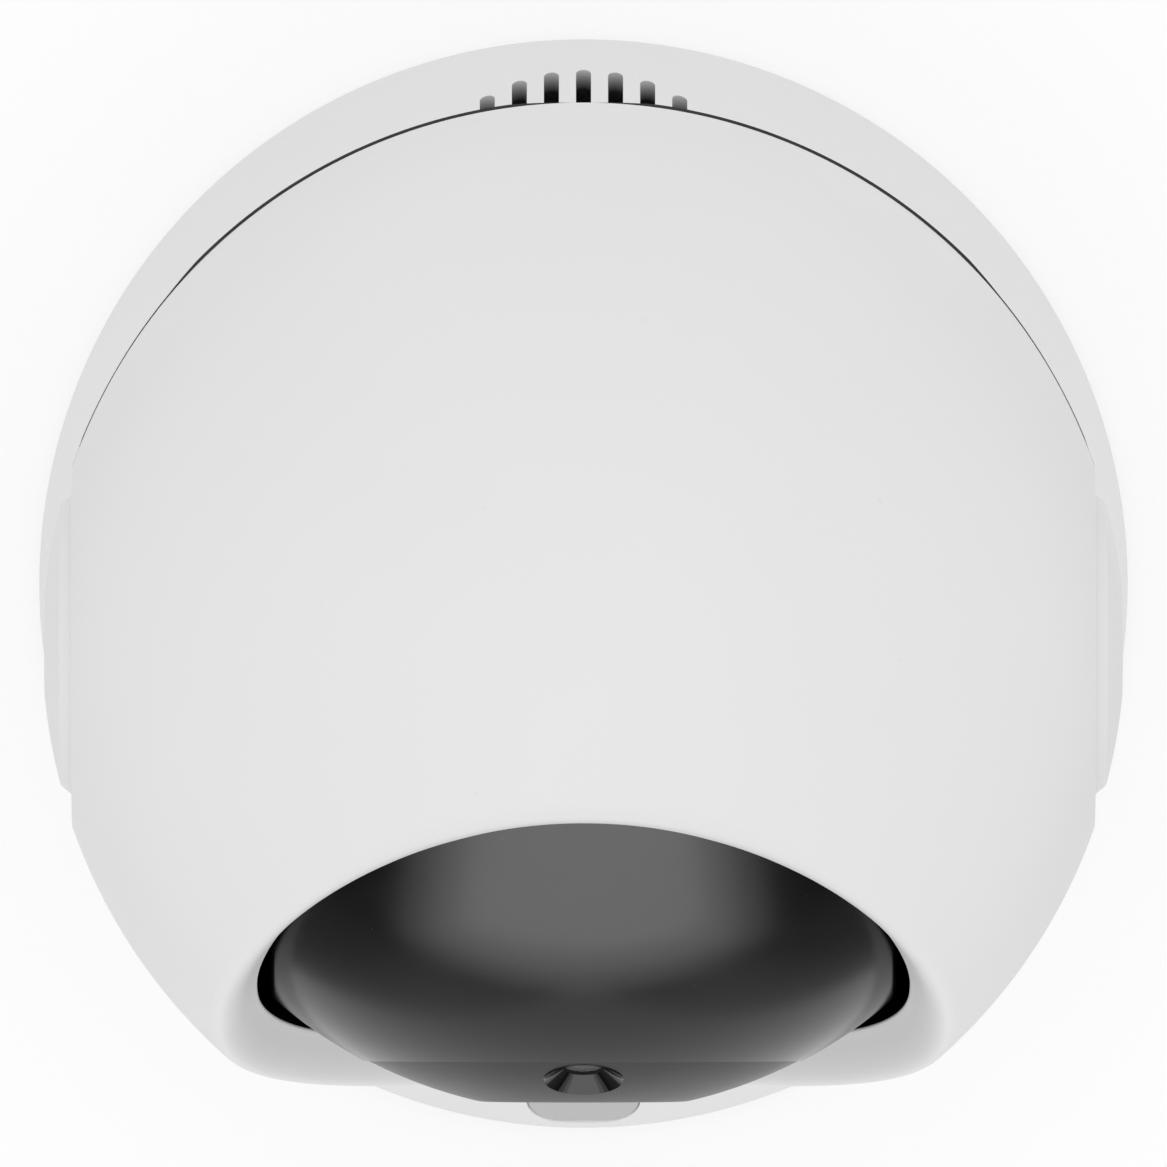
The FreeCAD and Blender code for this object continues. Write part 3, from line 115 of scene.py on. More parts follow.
# The head: a ball about the tilt axis, its front half swollen a little
AXIS = np.array([0.0, -4.95, 74.0])
HEAD_RADIUS = 44.0
HEAD_SWELL = 0.0125
SWELL_TOP = 34.0
SWELL_FULL = 4.0
HEAD_WALL = 2.4
HEAD_FLAT = 41.5
HEAD_FLOOR = 31.8
HEAD_FLOOR_THICKNESS = 2.6
HEAD_SPAN = math.radians(125)  # from the opening's edge to the far side
HEAD_ROWS = 117
CAVITY_ROWS = 40
HEAD_END, CAVITY_END = 0.992, 0.985  # shares of the way to the middle of the far side
INSIDE_MARGIN = 1.0
INSIDE_DEPTH = 0.3

# The opening's lip: upright below, leaning back above; pairs are for its top and its bottom
LIP_FORWARD = 35.7
LIP_ARC_START = -20.6
LIP_ARC_RADIUS = 101.0
LIP_LEAN = math.radians(33.9)
LIP_TOP = 41.5
LIP_ROUND = (2.2, 0.4)
LIP_REACH = (0.35, 1.2)
LIP_STEEP = (1.2, 2.0)
LIP_CLEAR = 5.5
LIP_SHARES = (0, 0.15, 0.35, 0.65)
OPENING_RADIUS = 39.25
OPENING_SETBACK = 3.58
# Height over the tilt axis, and how much further back the edge lies there
SETBACK_EXTRA = [(8, 0), (12, 0.1), (16, 0.2), (20, 0.32), (24, 0.38), (28, 0.34), (32, 0.3),
                 (35, 0.31), (37, 0.42), (38.5, 0.54)]
OPENING_FLANGE = 2.4
OPENING_EDGE = 0.25
OPENING_MARGIN = 0.06

# The parting line in the side view, and the dark strip in it that paints a shadow line: distance
# aside, how far proud
SEAM_HALF_GAP = 0.12
SEAM_POINTS = [(-60, -0.9), (-43.9, -0.15), (-30, 1.5), (-14, 2.2), (0, -0.5), (10, -7.5),
               (22, -21), (31, -33), (60, -64)]
SHADOW_STRIP_DEPTH = 0.7
SHADOW_STRIP_PROUD = [(3, 0.1), (6, 0.25), (31.2, 0.25), (33.7, 0.1), (36, 0.08), (38, 0.06),
                (40.6, 0.06), (41.4, -0.05)]

# The round covers on the head's sides and the groove round each
SIDE_CAP_RADIUS = 12.2
SIDE_CAP_BACK = 40.0
SIDE_CAP_CROWN = 11.45
SIDE_CAP_FACE = 4.2
SIDE_CAP_SPHERE = 43.95
SIDE_CAP_EDGES = (0, 0.12, 0.2)
GROOVE_INNER = 12.1
GROOVE_OUTER = 12.45
GROOVE_DEPTH = 0.4

# The dark ball and its flat-faced cap
BALL_RADIUS = 38.2
BALL_HALF_WIDTH = 25.35
BALL_EDGE = 0.5
BALL_SIDE_RADII = (3.0, 14.0, 22.0)
BALL_BACK = -6.0
CAP_RADIUS = 38.05
CAP_SEAT = 33.8
CAP_FRONT = 37.12
CAP_WALL = 1.75
CAP_EDGE = 0.12
CAP_SEAT_EDGE = 0.05
CAP_FRONT_EDGE = 0.3
FORWARD = (0.0, -1.0, 0.0)

# The second lens in its cone-shaped recess
SECOND_ANGLE = math.radians(21.9)
SECOND_AXIS = (0.0, -math.cos(SECOND_ANGLE), math.sin(SECOND_ANGLE))
RECESS_OUTER = 3.3
RECESS_INNER = 1.75
RECESS_DEPTH = 1.22
RECESS_BOTTOM = CAP_RADIUS - RECESS_DEPTH
RECESS_LINING = 1.86
RECESS_BORE = 3.0
RECESS_CLEAR = 0.6
LINING_OUT, LINING_IN = 0.05, 0.03
SECOND_GLASS_RADII = (1.7, 1.3, 0.9, 0.5, TIP)
SECOND_GLASS_SUNK = 0.26
SECOND_GLASS_THICK = 0.6
SECOND_GLASS_CROWN = 0.05
SECOND_IRIS_FRONT = RECESS_BOTTOM - 0.9
SECOND_IRIS = [(TIP, -0.5), (1.7, -0.5), (1.7, 0.0), (0.75, -0.1), (0.7, -0.35), (TIP, -0.35)]

# The main lens: its pane with the black print, the barrel, the stepped baffle, two glasses
WINDOW_RADIUS = 7.6
WINDOW_GAP = 0.04
WINDOW_EDGES = (0.1, 0.14)
WINDOW_FRONT = CAP_FRONT - 0.05
WINDOW_BACK = WINDOW_FRONT - 0.8
PRINT_RADII = (5.7, WINDOW_RADIUS - 0.1)
PRINT_DEPTHS = (0.01, 0.06)
BARREL_FRONT = 36.2
BARREL_RADIUS = 6.28
# Radius, and distance ahead of the barrel's front
BARREL_FACE = [(4.35, -1.6), (4.35, -0.5), (4.6, -0.28), (4.75, 0.0), (5.15, 0.0),
               (5.3, -0.25), (5.6, -0.3), (6.2, -1.2), (BARREL_RADIUS, -1.6)]
THREAD_TURNS = 6
THREAD_START = 1.9
THREAD_PITCH = 0.8
THREAD_GROOVE = [(0.0, 0.0), (0.18, 0.12), (0.18, 0.4), (0.0, 0.52)]
BARREL_TAIL = 23.2
BARREL_BORE = 3.0
BARREL_STEP = (4.35, -3.4)
IRIS_FRONT = BARREL_FRONT - 1.65
IRIS_CUP = [(TIP, -1.74), (4.3, -1.74), (4.3, 0.0)]
IRIS_STEPS = [(4.05 - i * 0.52, -0.16 * i) for i in range(5)]
IRIS_HOLE = [(1.35, -0.85), (1.25, -0.92), (1.25, -1.5), (TIP, -1.5)]
# Radius, back and front seen from the barrel's front, radius of the bulging face
MAIN_LENS = (4.28, -1.55, -0.4, 9.0)
CORE_LENS = (1.2, -3.1, -2.55, 2.4)


# Mesh helpers

def new_object(name, data):
    thing = bpy.data.objects.new(name, data)
    bpy.context.scene.collection.objects.link(thing)
    return thing


def new_piece(name, verts, faces):
    mesh = bpy.data.meshes.new(name)
    mesh.from_pydata((np.asarray(verts) * MM).tolist(), [], faces)
    mesh.validate()
    mesh.update()
    return new_object(name, mesh)


def quad_faces(rows, count, wrap_rows):
    i = np.arange(rows if wrap_rows else rows - 1)[:, None]
    j = np.arange(count)[None, :]
    a = i * count + j
    b = i * count + (j + 1) % count
    up = (i + 1) % rows * count
    faces = np.stack([a, b, up + (j + 1) % count, up + j], axis=-1)
    return faces.reshape(-1, 4).tolist()


def ring_piece(name, rings, ends):
    """A skin through closed rings: its ends are joined to each other, closed to a point or flat."""
    rings = np.array(rings, float)
    rows, count = rings.shape[:2]
    verts = rings.reshape(-1, 3)
    faces = quad_faces(rows, count, ends == "joined")
    if ends == "points":
        verts = np.vstack([verts, rings[0].mean(axis=0), rings[-1].mean(axis=0)])
        first, last, base = rows * count, rows * count + 1, (rows - 1) * count
        faces += [[(j + 1) % count, j, first] for j in range(count)]
        faces += [[base + j, base + (j + 1) % count, last] for j in range(count)]
    elif ends == "flat":
        base = (rows - 1) * count
        faces.append(list(range(count))[::-1])
        faces.append([base + j for j in range(count)])
    return new_piece(name, verts, faces)


def outward(piece):
    """Turns every face outward."""
    bm = bmesh.new()
    bm.from_mesh(piece.data)
    bmesh.ops.recalc_face_normals(bm, faces=bm.faces)
    bm.to_mesh(piece.data)
    bm.free()
    return piece


def boolean(piece, cutter, operation="DIFFERENCE"):
    modifier = piece.modifiers.new("cut", "BOOLEAN")
    modifier.object = cutter
    modifier.operation = operation
    modifier.solver = "EXACT"
    graph = bpy.context.evaluated_depsgraph_get()
    mesh = bpy.data.meshes.new_from_object(piece.evaluated_get(graph))
    piece.modifiers.clear()
    old = piece.data
    piece.data = mesh
    bpy.data.meshes.remove(old)
    bpy.data.objects.remove(cutter)
    return piece


def box(low, high):
    (x0, y0, z0), (x1, y1, z1) = low, high
    verts = [(x, y, z) for x in (x0, x1) for y in (y0, y1) for z in (z0, z1)]
    faces = [(0, 1, 3, 2), (4, 6, 7, 5), (0, 4, 5, 1), (2, 3, 7, 6), (0, 2, 6, 4), (1, 5, 7, 3)]
    return outward(new_piece("box", verts, faces))


def prism(outline, low, high, axis):
    """The outline's points, given in the other two axes, carried from low to high along an axis."""
    outline = np.array(outline, float)
    rings = [np.insert(outline, axis, value, axis=1) for value in (low, high)]
    return outward(ring_piece("prism", rings, "flat"))


def read_all(rows, key, kind=float, width=1):
    values = np.empty(len(rows) * width, kind)
    rows.foreach_get(key, values)
    return values.reshape(-1, width) if width > 1 else values


def finish_shading(piece, angle_deg, surfaces=()):
    """Smooth shading with sharp edges; faces on a stated surface take its exact normals."""
    mesh = piece.data
    mesh.shade_smooth()
    mesh.set_sharp_from_angle(angle=math.radians(angle_deg))
    if not surfaces:
        return piece
    points = read_all(mesh.vertices, "co", width=3) / MM
    corner = read_all(mesh.loops, "vertex_index", np.int32)
    starts = read_all(mesh.polygons, "loop_start", np.int32)
    normals = read_all(mesh.corner_normals, "vector", width=3)
    sizes = np.diff(np.append(starts, len(corner)))
    for surface in surfaces:
        on_surface, exact = surface(points)
        chosen = np.repeat(np.logical_and.reduceat(on_surface[corner], starts), sizes)
        facing = np.einsum("ij,ij->i", normals, exact[corner])
        chosen &= np.abs(facing) > 0.8
        signs = np.where(facing > 0, 1.0, -1.0)[:, None]
        normals = np.where(chosen[:, None], exact[corner] * signs, normals)
    mesh.normals_split_custom_set(normals.tolist())
    return piece


def on_sphere(radius):
    def surface(points):
        away = points - AXIS
        distance = np.linalg.norm(away, axis=1)
        return np.abs(distance - radius) < ON_SURFACE, away / np.maximum(distance, 1e-9)[:, None]
    return surface


def on_skirt(points):
    distance = np.hypot(points[:, 0], points[:, 1])
    level = points * [1, 1, 0] / distance[:, None]
    exact = level * math.sin(SKIRT_SLOPE) + [0, 0, math.cos(SKIRT_SLOPE)]
    return np.abs(distance - skirt_radius(points[:, 2])) < ON_SURFACE, exact


def unit(v):
    return v / np.linalg.norm(v, axis=-1, keepdims=True)


def toward(a, b, distance):
    return a + unit(b - a) * distance


def bisect(is_low, low, high):
    """Closes in on the place between low and high where is_low stops being true."""
    for _ in range(60):
        middle = (low + high) / 2
        below = is_low(middle)
        low, high = np.where(below, middle, low), np.where(below, high, middle)
    return low


def curve(steps, *points):
    """Points of a smooth curve from the first to the last, pulled towards those between."""
    points = [np.asarray(point) for point in points]
    t = np.linspace(0, 1, steps + 1).reshape((-1,) + (1,) * points[0].ndim)
    last = len(points) - 1
    terms = [math.comb(last, i) * t ** i * (1 - t) ** (last - i) * point
             for i, point in enumerate(points)]
    return list(sum(terms))


def turn(start, end, shares):
    """Directions on the great circle from start to end, one row for each share."""
    cosine = np.clip(np.sum(start * end, axis=-1), -1, 1)
    angle = np.arccos(cosine)[:, None]
    return [(np.sin((1 - share) * angle) * start + np.sin(share * angle) * end) / np.sin(angle)
            for share in shares]


def smooth_line(points, steps):
    """A smooth line through the points."""
    p = np.array(points, float)
    p = np.vstack([2 * p[0] - p[1], p, 2 * p[-1] - p[-2]])
    t = np.linspace(0, 1, steps, endpoint=False)[:, None]
    out = [0.5 * (2 * b + (c - a) * t + (2 * a - 5 * b + 4 * c - d) * t ** 2
                  + (3 * b - a - 3 * c + d) * t ** 3) for a, b, c, d in zip(p, p[1:], p[2:], p[3:])]
    return np.vstack(out + [p[-2]])


def lathe(name, profile, axis, count, ends="points", origin=AXIS):
    """Turns a profile of (radius, distance) about an axis through the origin."""
    axis = np.array(axis, float) / np.linalg.norm(axis)
    side = np.cross(axis, (0.0, 0.0, 1.0) if abs(axis[2]) < 0.9 else (1.0, 0.0, 0.0))
    side /= np.linalg.norm(side)
    other = np.cross(axis, side)
    angles = np.linspace(0, 2 * math.pi, count, endpoint=False)
    circle = np.cos(angles)[:, None] * side + np.sin(angles)[:, None] * other
    rings = [origin + axis * distance + circle * radius for radius, distance in profile]
    return outward(ring_piece(name, rings, ends))


def shifted(profile, front):
    return [(radius, front + ahead) for radius, ahead in profile]


def rounded(profile, sizes, steps=5):
    """Rounds the corners of an open profile; a size of nought keeps a corner."""
    p = [np.array(point, float) for point in profile]
    out = [p[0]]
    for before, point, after, size in zip(p, p[1:], p[2:], sizes):
        if size:
            out += curve(steps, toward(point, before, size), point, toward(point, after, size))
        else:
            out.append(point)
    return out + [p[-1]]


# Base skirt

def skirt_radius(z):
    return BASE_RADIUS - np.maximum(0.0, z - CONE_START) / math.tan(SKIRT_SLOPE)


def skirt_point(angle, z, inset=0.0):
    r = skirt_radius(z) - inset
    return np.stack([r * np.cos(angle), r * np.sin(angle), z + 0 * angle], axis=-1)


def meeting_height(angle, inset, radius):
    """Height at which the skirt, moved in by the inset, meets a sphere about the axis."""
    def outside(z):
        return np.linalg.norm(skirt_point(angle, z, inset) - AXIS, axis=-1) > radius

    return bisect(outside, np.full_like(angle, CONE_START), np.full_like(angle, AXIS[2] - 10))


def rim_plane():
    """The slanted plane that blunts the rim, as height at the base's middle and rise with y."""
    ends = np.array([-math.pi / 2, math.pi / 2])
    z = meeting_height(ends, 0.0, BOWL_RADIUS) - RIM_DROP
    y = np.array([-skirt_radius(z[0]), skirt_radius(z[1])])
    rise = (z[1] - z[0]) / (y[1] - y[0])
    return z[0] - rise * y[0], rise


def on_rim_plane(angle):
    """Points where the skirt's outside and the bowl meet the rim's plane."""
    start, rise = rim_plane()
    z = meeting_height(angle, 0.0, BOWL_RADIUS)
    for _ in range(30):
        z = start + rise * skirt_radius(z) * np.sin(angle)

    def on_plane(r):
        across = r * np.sin(angle)
        return np.stack([r * np.cos(angle), across, start + rise * across], axis=-1)

    def in_bowl(r):
        return np.linalg.norm(on_plane(r) - AXIS, axis=-1) < BOWL_RADIUS

    return skirt_point(angle, z), on_plane(bisect(in_bowl, 0 * angle, skirt_radius(z)))


def under_axis(angle, radius, sphere):
    """Directions from the tilt axis to an upright circle on a sphere's underside."""
    return unit(np.stack([radius * np.cos(angle), radius * np.sin(angle),
                          0 * angle - math.sqrt(sphere ** 2 - radius ** 2)], axis=-1))


def skirt_rings(count):
    angle = np.linspace(0, 2 * math.pi, count, endpoint=False)
    circle = np.stack([np.cos(angle), np.sin(angle), 0 * angle], axis=-1)
    outer, inner = on_rim_plane(angle)
    foot = circle * BASE_RADIUS + [0, 0, SKIRT_BOTTOM]
    band_top = circle * BASE_RADIUS + [0, 0, CONE_START]
    rim_low, rim_out, rim_in = RIM_EDGES
    rings = [circle * FOOT_INNER + [0, 0, SKIRT_BOTTOM]]
    rings += curve(4, toward(foot, rings[0], SKIRT_EDGE), foot, toward(foot, band_top, SKIRT_EDGE))
    rings += curve(4, toward(band_top, foot, SKIRT_EDGE), band_top,
                   toward(band_top, outer, BAND_EDGE))
    low, high = rings[-1], toward(outer, band_top, rim_low)
    rings += [low + (high - low) * share for share in np.linspace(0, 1, 30)[1:-1]]
    rings += curve(5, high, outer, toward(outer, inner, rim_out))
    bowl = turn(unit(inner - AXIS), under_axis(angle, SPINDLE_RECESS, BOWL_RADIUS),
                np.linspace(0.01, 1, 26))
    bowl = [AXIS + row * BOWL_RADIUS for row in bowl]
    rings += curve(4, toward(inner, outer, rim_in), inner, bowl[0])
    rings += bowl[1:]
    for radius, height in ((SPINDLE_RECESS, RECESS_FLOOR), (SPINDLE_HOLE, RECESS_FLOOR),
                           (SPINDLE_HOLE, BOSS_BOTTOM), (BOSS_RADIUS, BOSS_BOTTOM)):
        rings.append(AXIS * [1, 1, 0] + circle * radius + [0, 0, height])
    under = BOWL_RADIUS + BOWL_WALL
    corner = skirt_point(angle, meeting_height(angle, SKIRT_INSET, under), SKIRT_INSET)
    boss = under_axis(angle, BOSS_RADIUS, under)
    rings += [AXIS + row * under for row in turn(boss, unit(corner - AXIS), np.linspace(0, 1, 16))]
    bottom = skirt_point(angle, np.full_like(angle, COVER_TOP), SKIRT_INSET)
    rings += [corner + (bottom - corner) * share for share in np.linspace(0, 1, 12)[1:]]
    rings.append(circle * FOOT_INNER + [0, 0, COVER_TOP])
    return rings


def stadium(half_width, half_height, steps=12):
    """An upright or lying pill outline about the origin."""
    reach = half_width - half_height
    points = []
    for side, first in ((1, -90), (-1, 90)):
        for i in range(steps + 1):
            a = math.radians(first + 180 * i / steps)
            points.append((side * max(reach, 0) + half_height * math.cos(a),
                           half_height * math.sin(a)))
    return points


def slot_cutter():
    """All the sound slots in one cutter."""
    bm = bmesh.new()
    for i in range(SLOT_COUNT):
        x = (i - (SLOT_COUNT - 1) / 2) * SLOT_PITCH
        reach = math.sqrt(GRILLE_RADIUS ** 2 - x ** 2)
        outline = [(x + b, GRILLE_Z + a) for a, b in stadium(reach, SLOT_WIDTH / 2)]
        cutter = prism(outline, *GRILLE_REACH, 1)
        bm.from_mesh(cutter.data)
        if i < SLOT_COUNT - 1:
            bpy.data.objects.remove(cutter)
    bm.to_mesh(cutter.data)
    bm.free()
    return cutter


def pill_piece(name, shrink, front_gap, depth, crown):
    """The status window's pill between the skirt's surface and its depth."""
    half_height = (PILL_TOP - PILL_BOTTOM) / 2 - shrink
    middle_z = (PILL_TOP + PILL_BOTTOM) / 2
    steps = [(0.0, depth)]
    if crown:
        steps += [(inward, front_gap + behind) for inward, behind in PILL_EDGE]
        steps += [(inward, front_gap) for inward in np.linspace(0.5, half_height - 0.02, 6)]
    else:
        steps += [(0.0, front_gap)]
    rings = []
    for inward, inset in steps:
        outline = np.array(stadium(PILL_HALF_WIDTH - shrink - inward, half_height - inward, 16))
        x, z = outline[:, 0], outline[:, 1] + middle_z
        r = skirt_radius(z) - inset / math.sin(SKIRT_SLOPE)
        rings.append(np.stack([x, -np.sqrt(r ** 2 - x ** 2), z], axis=-1))
    return finish_shading(outward(ring_piece(name, rings, "flat")), 40)


def slot_wall_look():
    """The slots' walls: pale grey at the surface and darker deeper in, a painted shade."""
    material, tree, shader, coords = start_material("slot_wall_look")
    x, y, z = split(tree, coords)
    aside = compute(tree, "MULTIPLY_ADD", x, x, compute(tree, "MULTIPLY", y, y))
    rise = compute(tree, "MULTIPLY_ADD", z, 1 / math.tan(SKIRT_SLOPE), compute(tree, "SQRT", aside))
    surface = (BASE_RADIUS + CONE_START / math.tan(SKIRT_SLOPE)) * MM
    near, far = (surface - depth * MM for depth in SLOT_SHADE_DEPTH)
    # A faint noise mottles the painted shade a little.
    fibres = ranged(tree, noise(tree, coords, 2200.0, 3.0), 0.96, 1.0)
    share = compute(tree, "MULTIPLY", ranged(tree, rise, 1.0, 0.0, far, near), fibres)
    coat(tree, shader, mixed(tree, share, (0.5, 0.5, 0.5), (0.012, 0.012, 0.012)), 0.8, 0.02)
    return material


def in_slots(x, y, z):
    """Inside a sound slot or behind the grille."""
    depth = skirt_radius(z) - math.hypot(x, y)
    near = y > WALLS_BACK and math.hypot(x, z - GRILLE_Z) < GRILLE_RADIUS + WALLS_ASIDE
    return near and WALLS_DEPTH[0] < depth < SKIRT_INSET + WALLS_DEPTH[1]


def make_skirt():
    skirt = outward(ring_piece("base_skirt", skirt_rings(512), "joined"))
    boolean(skirt, box(*INLET_PAD), "UNION")
    outline = rounded(INLET_POCKET + INLET_POCKET[:2], [INLET_POCKET_EDGE] * 4)
    boolean(skirt, prism(outline[1:-1], -CLEAR_ACROSS, INLET_POCKET_FLOOR, 0))
    mouth = [(y, z + INLET_MOUTH_Z) for y, z in stadium(*INLET_MOUTH)]
    boolean(skirt, prism(mouth, *INLET_MOUTH_REACH, 0))
    boolean(skirt, slot_cutter())
    boolean(skirt, pill_piece("pill_space", 0.0, -1.5, PILL_DEPTH, False))
    return finish_shading(skirt, 32, [on_skirt, on_sphere(BOWL_RADIUS)])


# Head

def lip_forward(up):
    line_start = LIP_ARC_START + LIP_ARC_RADIUS * math.sin(LIP_LEAN)
    rise = np.clip(up - LIP_ARC_START, 0, LIP_ARC_RADIUS * 0.99)
    arc = LIP_FORWARD - LIP_ARC_RADIUS + np.sqrt(LIP_ARC_RADIUS ** 2 - rise ** 2)
    line_forward = LIP_FORWARD - LIP_ARC_RADIUS * (1 - math.cos(LIP_LEAN))
    line = line_forward - (up - line_start) * math.tan(LIP_LEAN)
    return np.where(up <= line_start, arc, line)


def opening_forward(up, setback):
    """How far forward the opening's outline lies; a lip has no setback."""
    extra = np.interp(up, *zip(*SETBACK_EXTRA)) if setback else 0.0
    return lip_forward(up) - setback - extra


def opening_end(radius, setback, sign):
    def in_ball(up):
        return np.hypot(opening_forward(sign * up, setback), up) < radius

    return sign * bisect(in_ball, 0.0, radius)


def opening_ring(radius, setback, count):
    """The opening's outline on a sphere about the tilt axis."""
    top, bottom = (opening_end(radius, setback, sign) for sign in (1, -1))
    angle = np.linspace(0, 2 * math.pi, count, endpoint=False)
    up = (top + bottom) / 2 + (top - bottom) / 2 * np.cos(angle)
    forward = opening_forward(up, setback)
    across = np.sqrt(np.maximum(0.0, radius ** 2 - forward ** 2 - up ** 2))
    return AXIS + np.stack([np.where(np.sin(angle) > 0, across, -across), -forward, up], axis=-1)


def swell_factor(up):
    """How much the head's front half reaches past a true ball at this height."""
    share = np.clip((SWELL_TOP - up) / (SWELL_TOP - SWELL_FULL), 0, 1)
    return 1 + HEAD_SWELL * share ** 2 * (3 - 2 * share)


def swollen(points):
    forward = AXIS[1] - points[:, 1]
    reach = forward * swell_factor(points[:, 2] - AXIS[2])
    result = points.copy()
    result[:, 1] = AXIS[1] - np.where(forward > 0, reach, forward)
    return result


def on_head(points):
    """The head's outer surface: a ball with its front half swollen a little."""
    x, forward, up = points[:, 0], AXIS[1] - points[:, 1], points[:, 2] - AXIS[2]
    step = 0.01
    ahead = forward > 0
    factor = np.where(ahead, swell_factor(up), 1.0)
    growth = np.where(ahead, swell_factor(up + step) - swell_factor(up - step), 0.0) / (2 * step)
    distance = np.sqrt(x ** 2 + (forward / factor) ** 2 + up ** 2)
    slope = np.stack([x, -forward / factor ** 2, up - forward ** 2 * growth / factor ** 3], axis=1)
    exact = slope / np.maximum(np.linalg.norm(slope, axis=1), 1e-9)[:, None]
    return np.abs(distance - HEAD_RADIUS) < ON_SURFACE, exact


def head_rings(count):
    lip = opening_ring(HEAD_RADIUS, 0.0, count)
    edge = opening_ring(OPENING_RADIUS, OPENING_SETBACK, count)
    back = opening_ring(OPENING_RADIUS, OPENING_SETBACK + OPENING_FLANGE, count)
    lip_way = unit(lip - AXIS)
    pole = np.tile(-unit(lip_way.mean(axis=0)), (count, 1))
    span = HEAD_SPAN * HEAD_RADIUS
    low = np.clip(1 - (lip[:, 2:] - AXIS[2]) / LIP_TOP, 0, 1)
    start, reach, steep = (a + (b - a) * low for a, b in (LIP_ROUND, LIP_REACH, LIP_STEEP))
    shares = [(start + (LIP_CLEAR - start) * share) / span for share in LIP_SHARES]
    shares += list(np.linspace(LIP_CLEAR / span, HEAD_END, HEAD_ROWS))
    shares.append(-reach / span)
    *outside, ahead = (swollen(AXIS + row * HEAD_RADIUS) for row in turn(lip_way, pole, shares))
    above = edge + unit(edge - AXIS) * steep
    flare_end = toward(edge, above, OPENING_EDGE)
    rings = outside[::-1]
    rings += curve(24, rings[-1], ahead, above, flare_end)[1:]
    rings += curve(4, flare_end, edge, toward(edge, back, OPENING_EDGE))[1:]
    rings.append(back)
    limit = HEAD_FLAT - HEAD_WALL
    for row in turn(unit(back - AXIS), pole, np.linspace(0.0, CAVITY_END, CAVITY_ROWS)):
        point = AXIS + row * (HEAD_RADIUS - HEAD_WALL)
        point[:, 0] = np.clip(point[:, 0], -limit, limit)
        point[:, 2] = np.maximum(point[:, 2], HEAD_FLOOR + HEAD_FLOOR_THICKNESS)
        rings.append(point)
    return rings


def seam_region(shift):
    line = smooth_line(SEAM_POINTS, 12)
    outline = [(AXIS[1] - forward, AXIS[2] + up + shift) for forward, up in line]
    outline = [(outline[0][0], CLEAR_TOP)] + outline + [(outline[-1][0], CLEAR_TOP)]
    return prism(outline, -CLEAR_ACROSS, CLEAR_ACROSS, 0)


def make_head():
    head = outward(ring_piece("head_shell_top", head_rings(384), "points"))
    boolean(head, box((-HEAD_FLAT, -CLEAR_ALONG, HEAD_FLOOR),
                      (HEAD_FLAT, CLEAR_ALONG, CLEAR_TOP)), "INTERSECT")
    floor, top = HEAD_FLAT - GROOVE_DEPTH, HEAD_FLAT + 1
    groove = [(GROOVE_INNER, floor), (GROOVE_OUTER, floor), (GROOVE_OUTER, top),
              (GROOVE_INNER, top)]
    for side in (-1, 1):
        boolean(head, lathe("groove", groove, (side, 0, 0), 192, "joined"))
    lower = new_object("head_shell_bottom", head.data.copy())
    boolean(head, seam_region(SEAM_HALF_GAP), "INTERSECT")
    boolean(lower, seam_region(-SEAM_HALF_GAP))
    return [finish_shading(piece, 32, [on_head]) for piece in (head, lower)]


def in_head(x, y, z):
    """Behind the opening's edge or in the parting line, where the shell's faces take painted shade.
    """
    forward, up = AXIS[1] - y, z - AXIS[2]
    behind = forward < opening_forward(up, OPENING_SETBACK) - OPENING_MARGIN
    buried = math.hypot(x, forward, up) < HEAD_RADIUS - INSIDE_DEPTH
    between = abs(x) < HEAD_FLAT - INSIDE_MARGIN and z > HEAD_FLOOR + INSIDE_MARGIN
    return behind and buried and between


def make_seam_shadow_strip():
    """A thin dark strip in the parting line, proud round the head's back: a painted shadow line
    along the head's back outline.
    """
    right = []
    for forward, up in smooth_line([p for p in SEAM_POINTS if -45 < p[0] < 10], 90):
        across = HEAD_RADIUS ** 2 - forward ** 2 - up ** 2
        if forward < 0 and 0 <= across <= HEAD_FLAT ** 2:
            right.append((math.sqrt(across), forward, up))
    path = np.array([(-x, forward, up) for x, forward, up in right[::-1]] + right)
    inner = np.full(len(path), HEAD_RADIUS - SHADOW_STRIP_DEPTH)
    outer = HEAD_RADIUS + np.interp(np.abs(path[:, 0]), *zip(*SHADOW_STRIP_PROUD))
    half = SEAM_HALF_GAP - 0.01
    rows = []
    for level, radius in ((-half, inner), (-half, outer), (half, outer), (half, inner)):
        point = unit(path) * radius[:, None]
        rows.append(AXIS + np.stack([point[:, 0], -point[:, 1], point[:, 2] + level], axis=-1))
    return finish_shading(outward(ring_piece("seam_shadow_strip", np.stack(rows, axis=1), "flat")), 40)


def make_side_cap(name, side):
    crown = [(r, math.sqrt(SIDE_CAP_SPHERE ** 2 - r ** 2))
             for r in np.linspace(SIDE_CAP_CROWN, SIDE_CAP_FACE, 24)]
    rim = [(TIP, SIDE_CAP_BACK), (SIDE_CAP_RADIUS, SIDE_CAP_BACK), (SIDE_CAP_RADIUS, HEAD_FLAT)]
    profile = rounded(rim + [crown[0], crown[2]], SIDE_CAP_EDGES) + crown[3:]
    profile.append((TIP, crown[-1][1]))
    return finish_shading(lathe(name, profile, (side, 0, 0), 192), 40,
                          [on_sphere(SIDE_CAP_SPHERE)])


# Ball

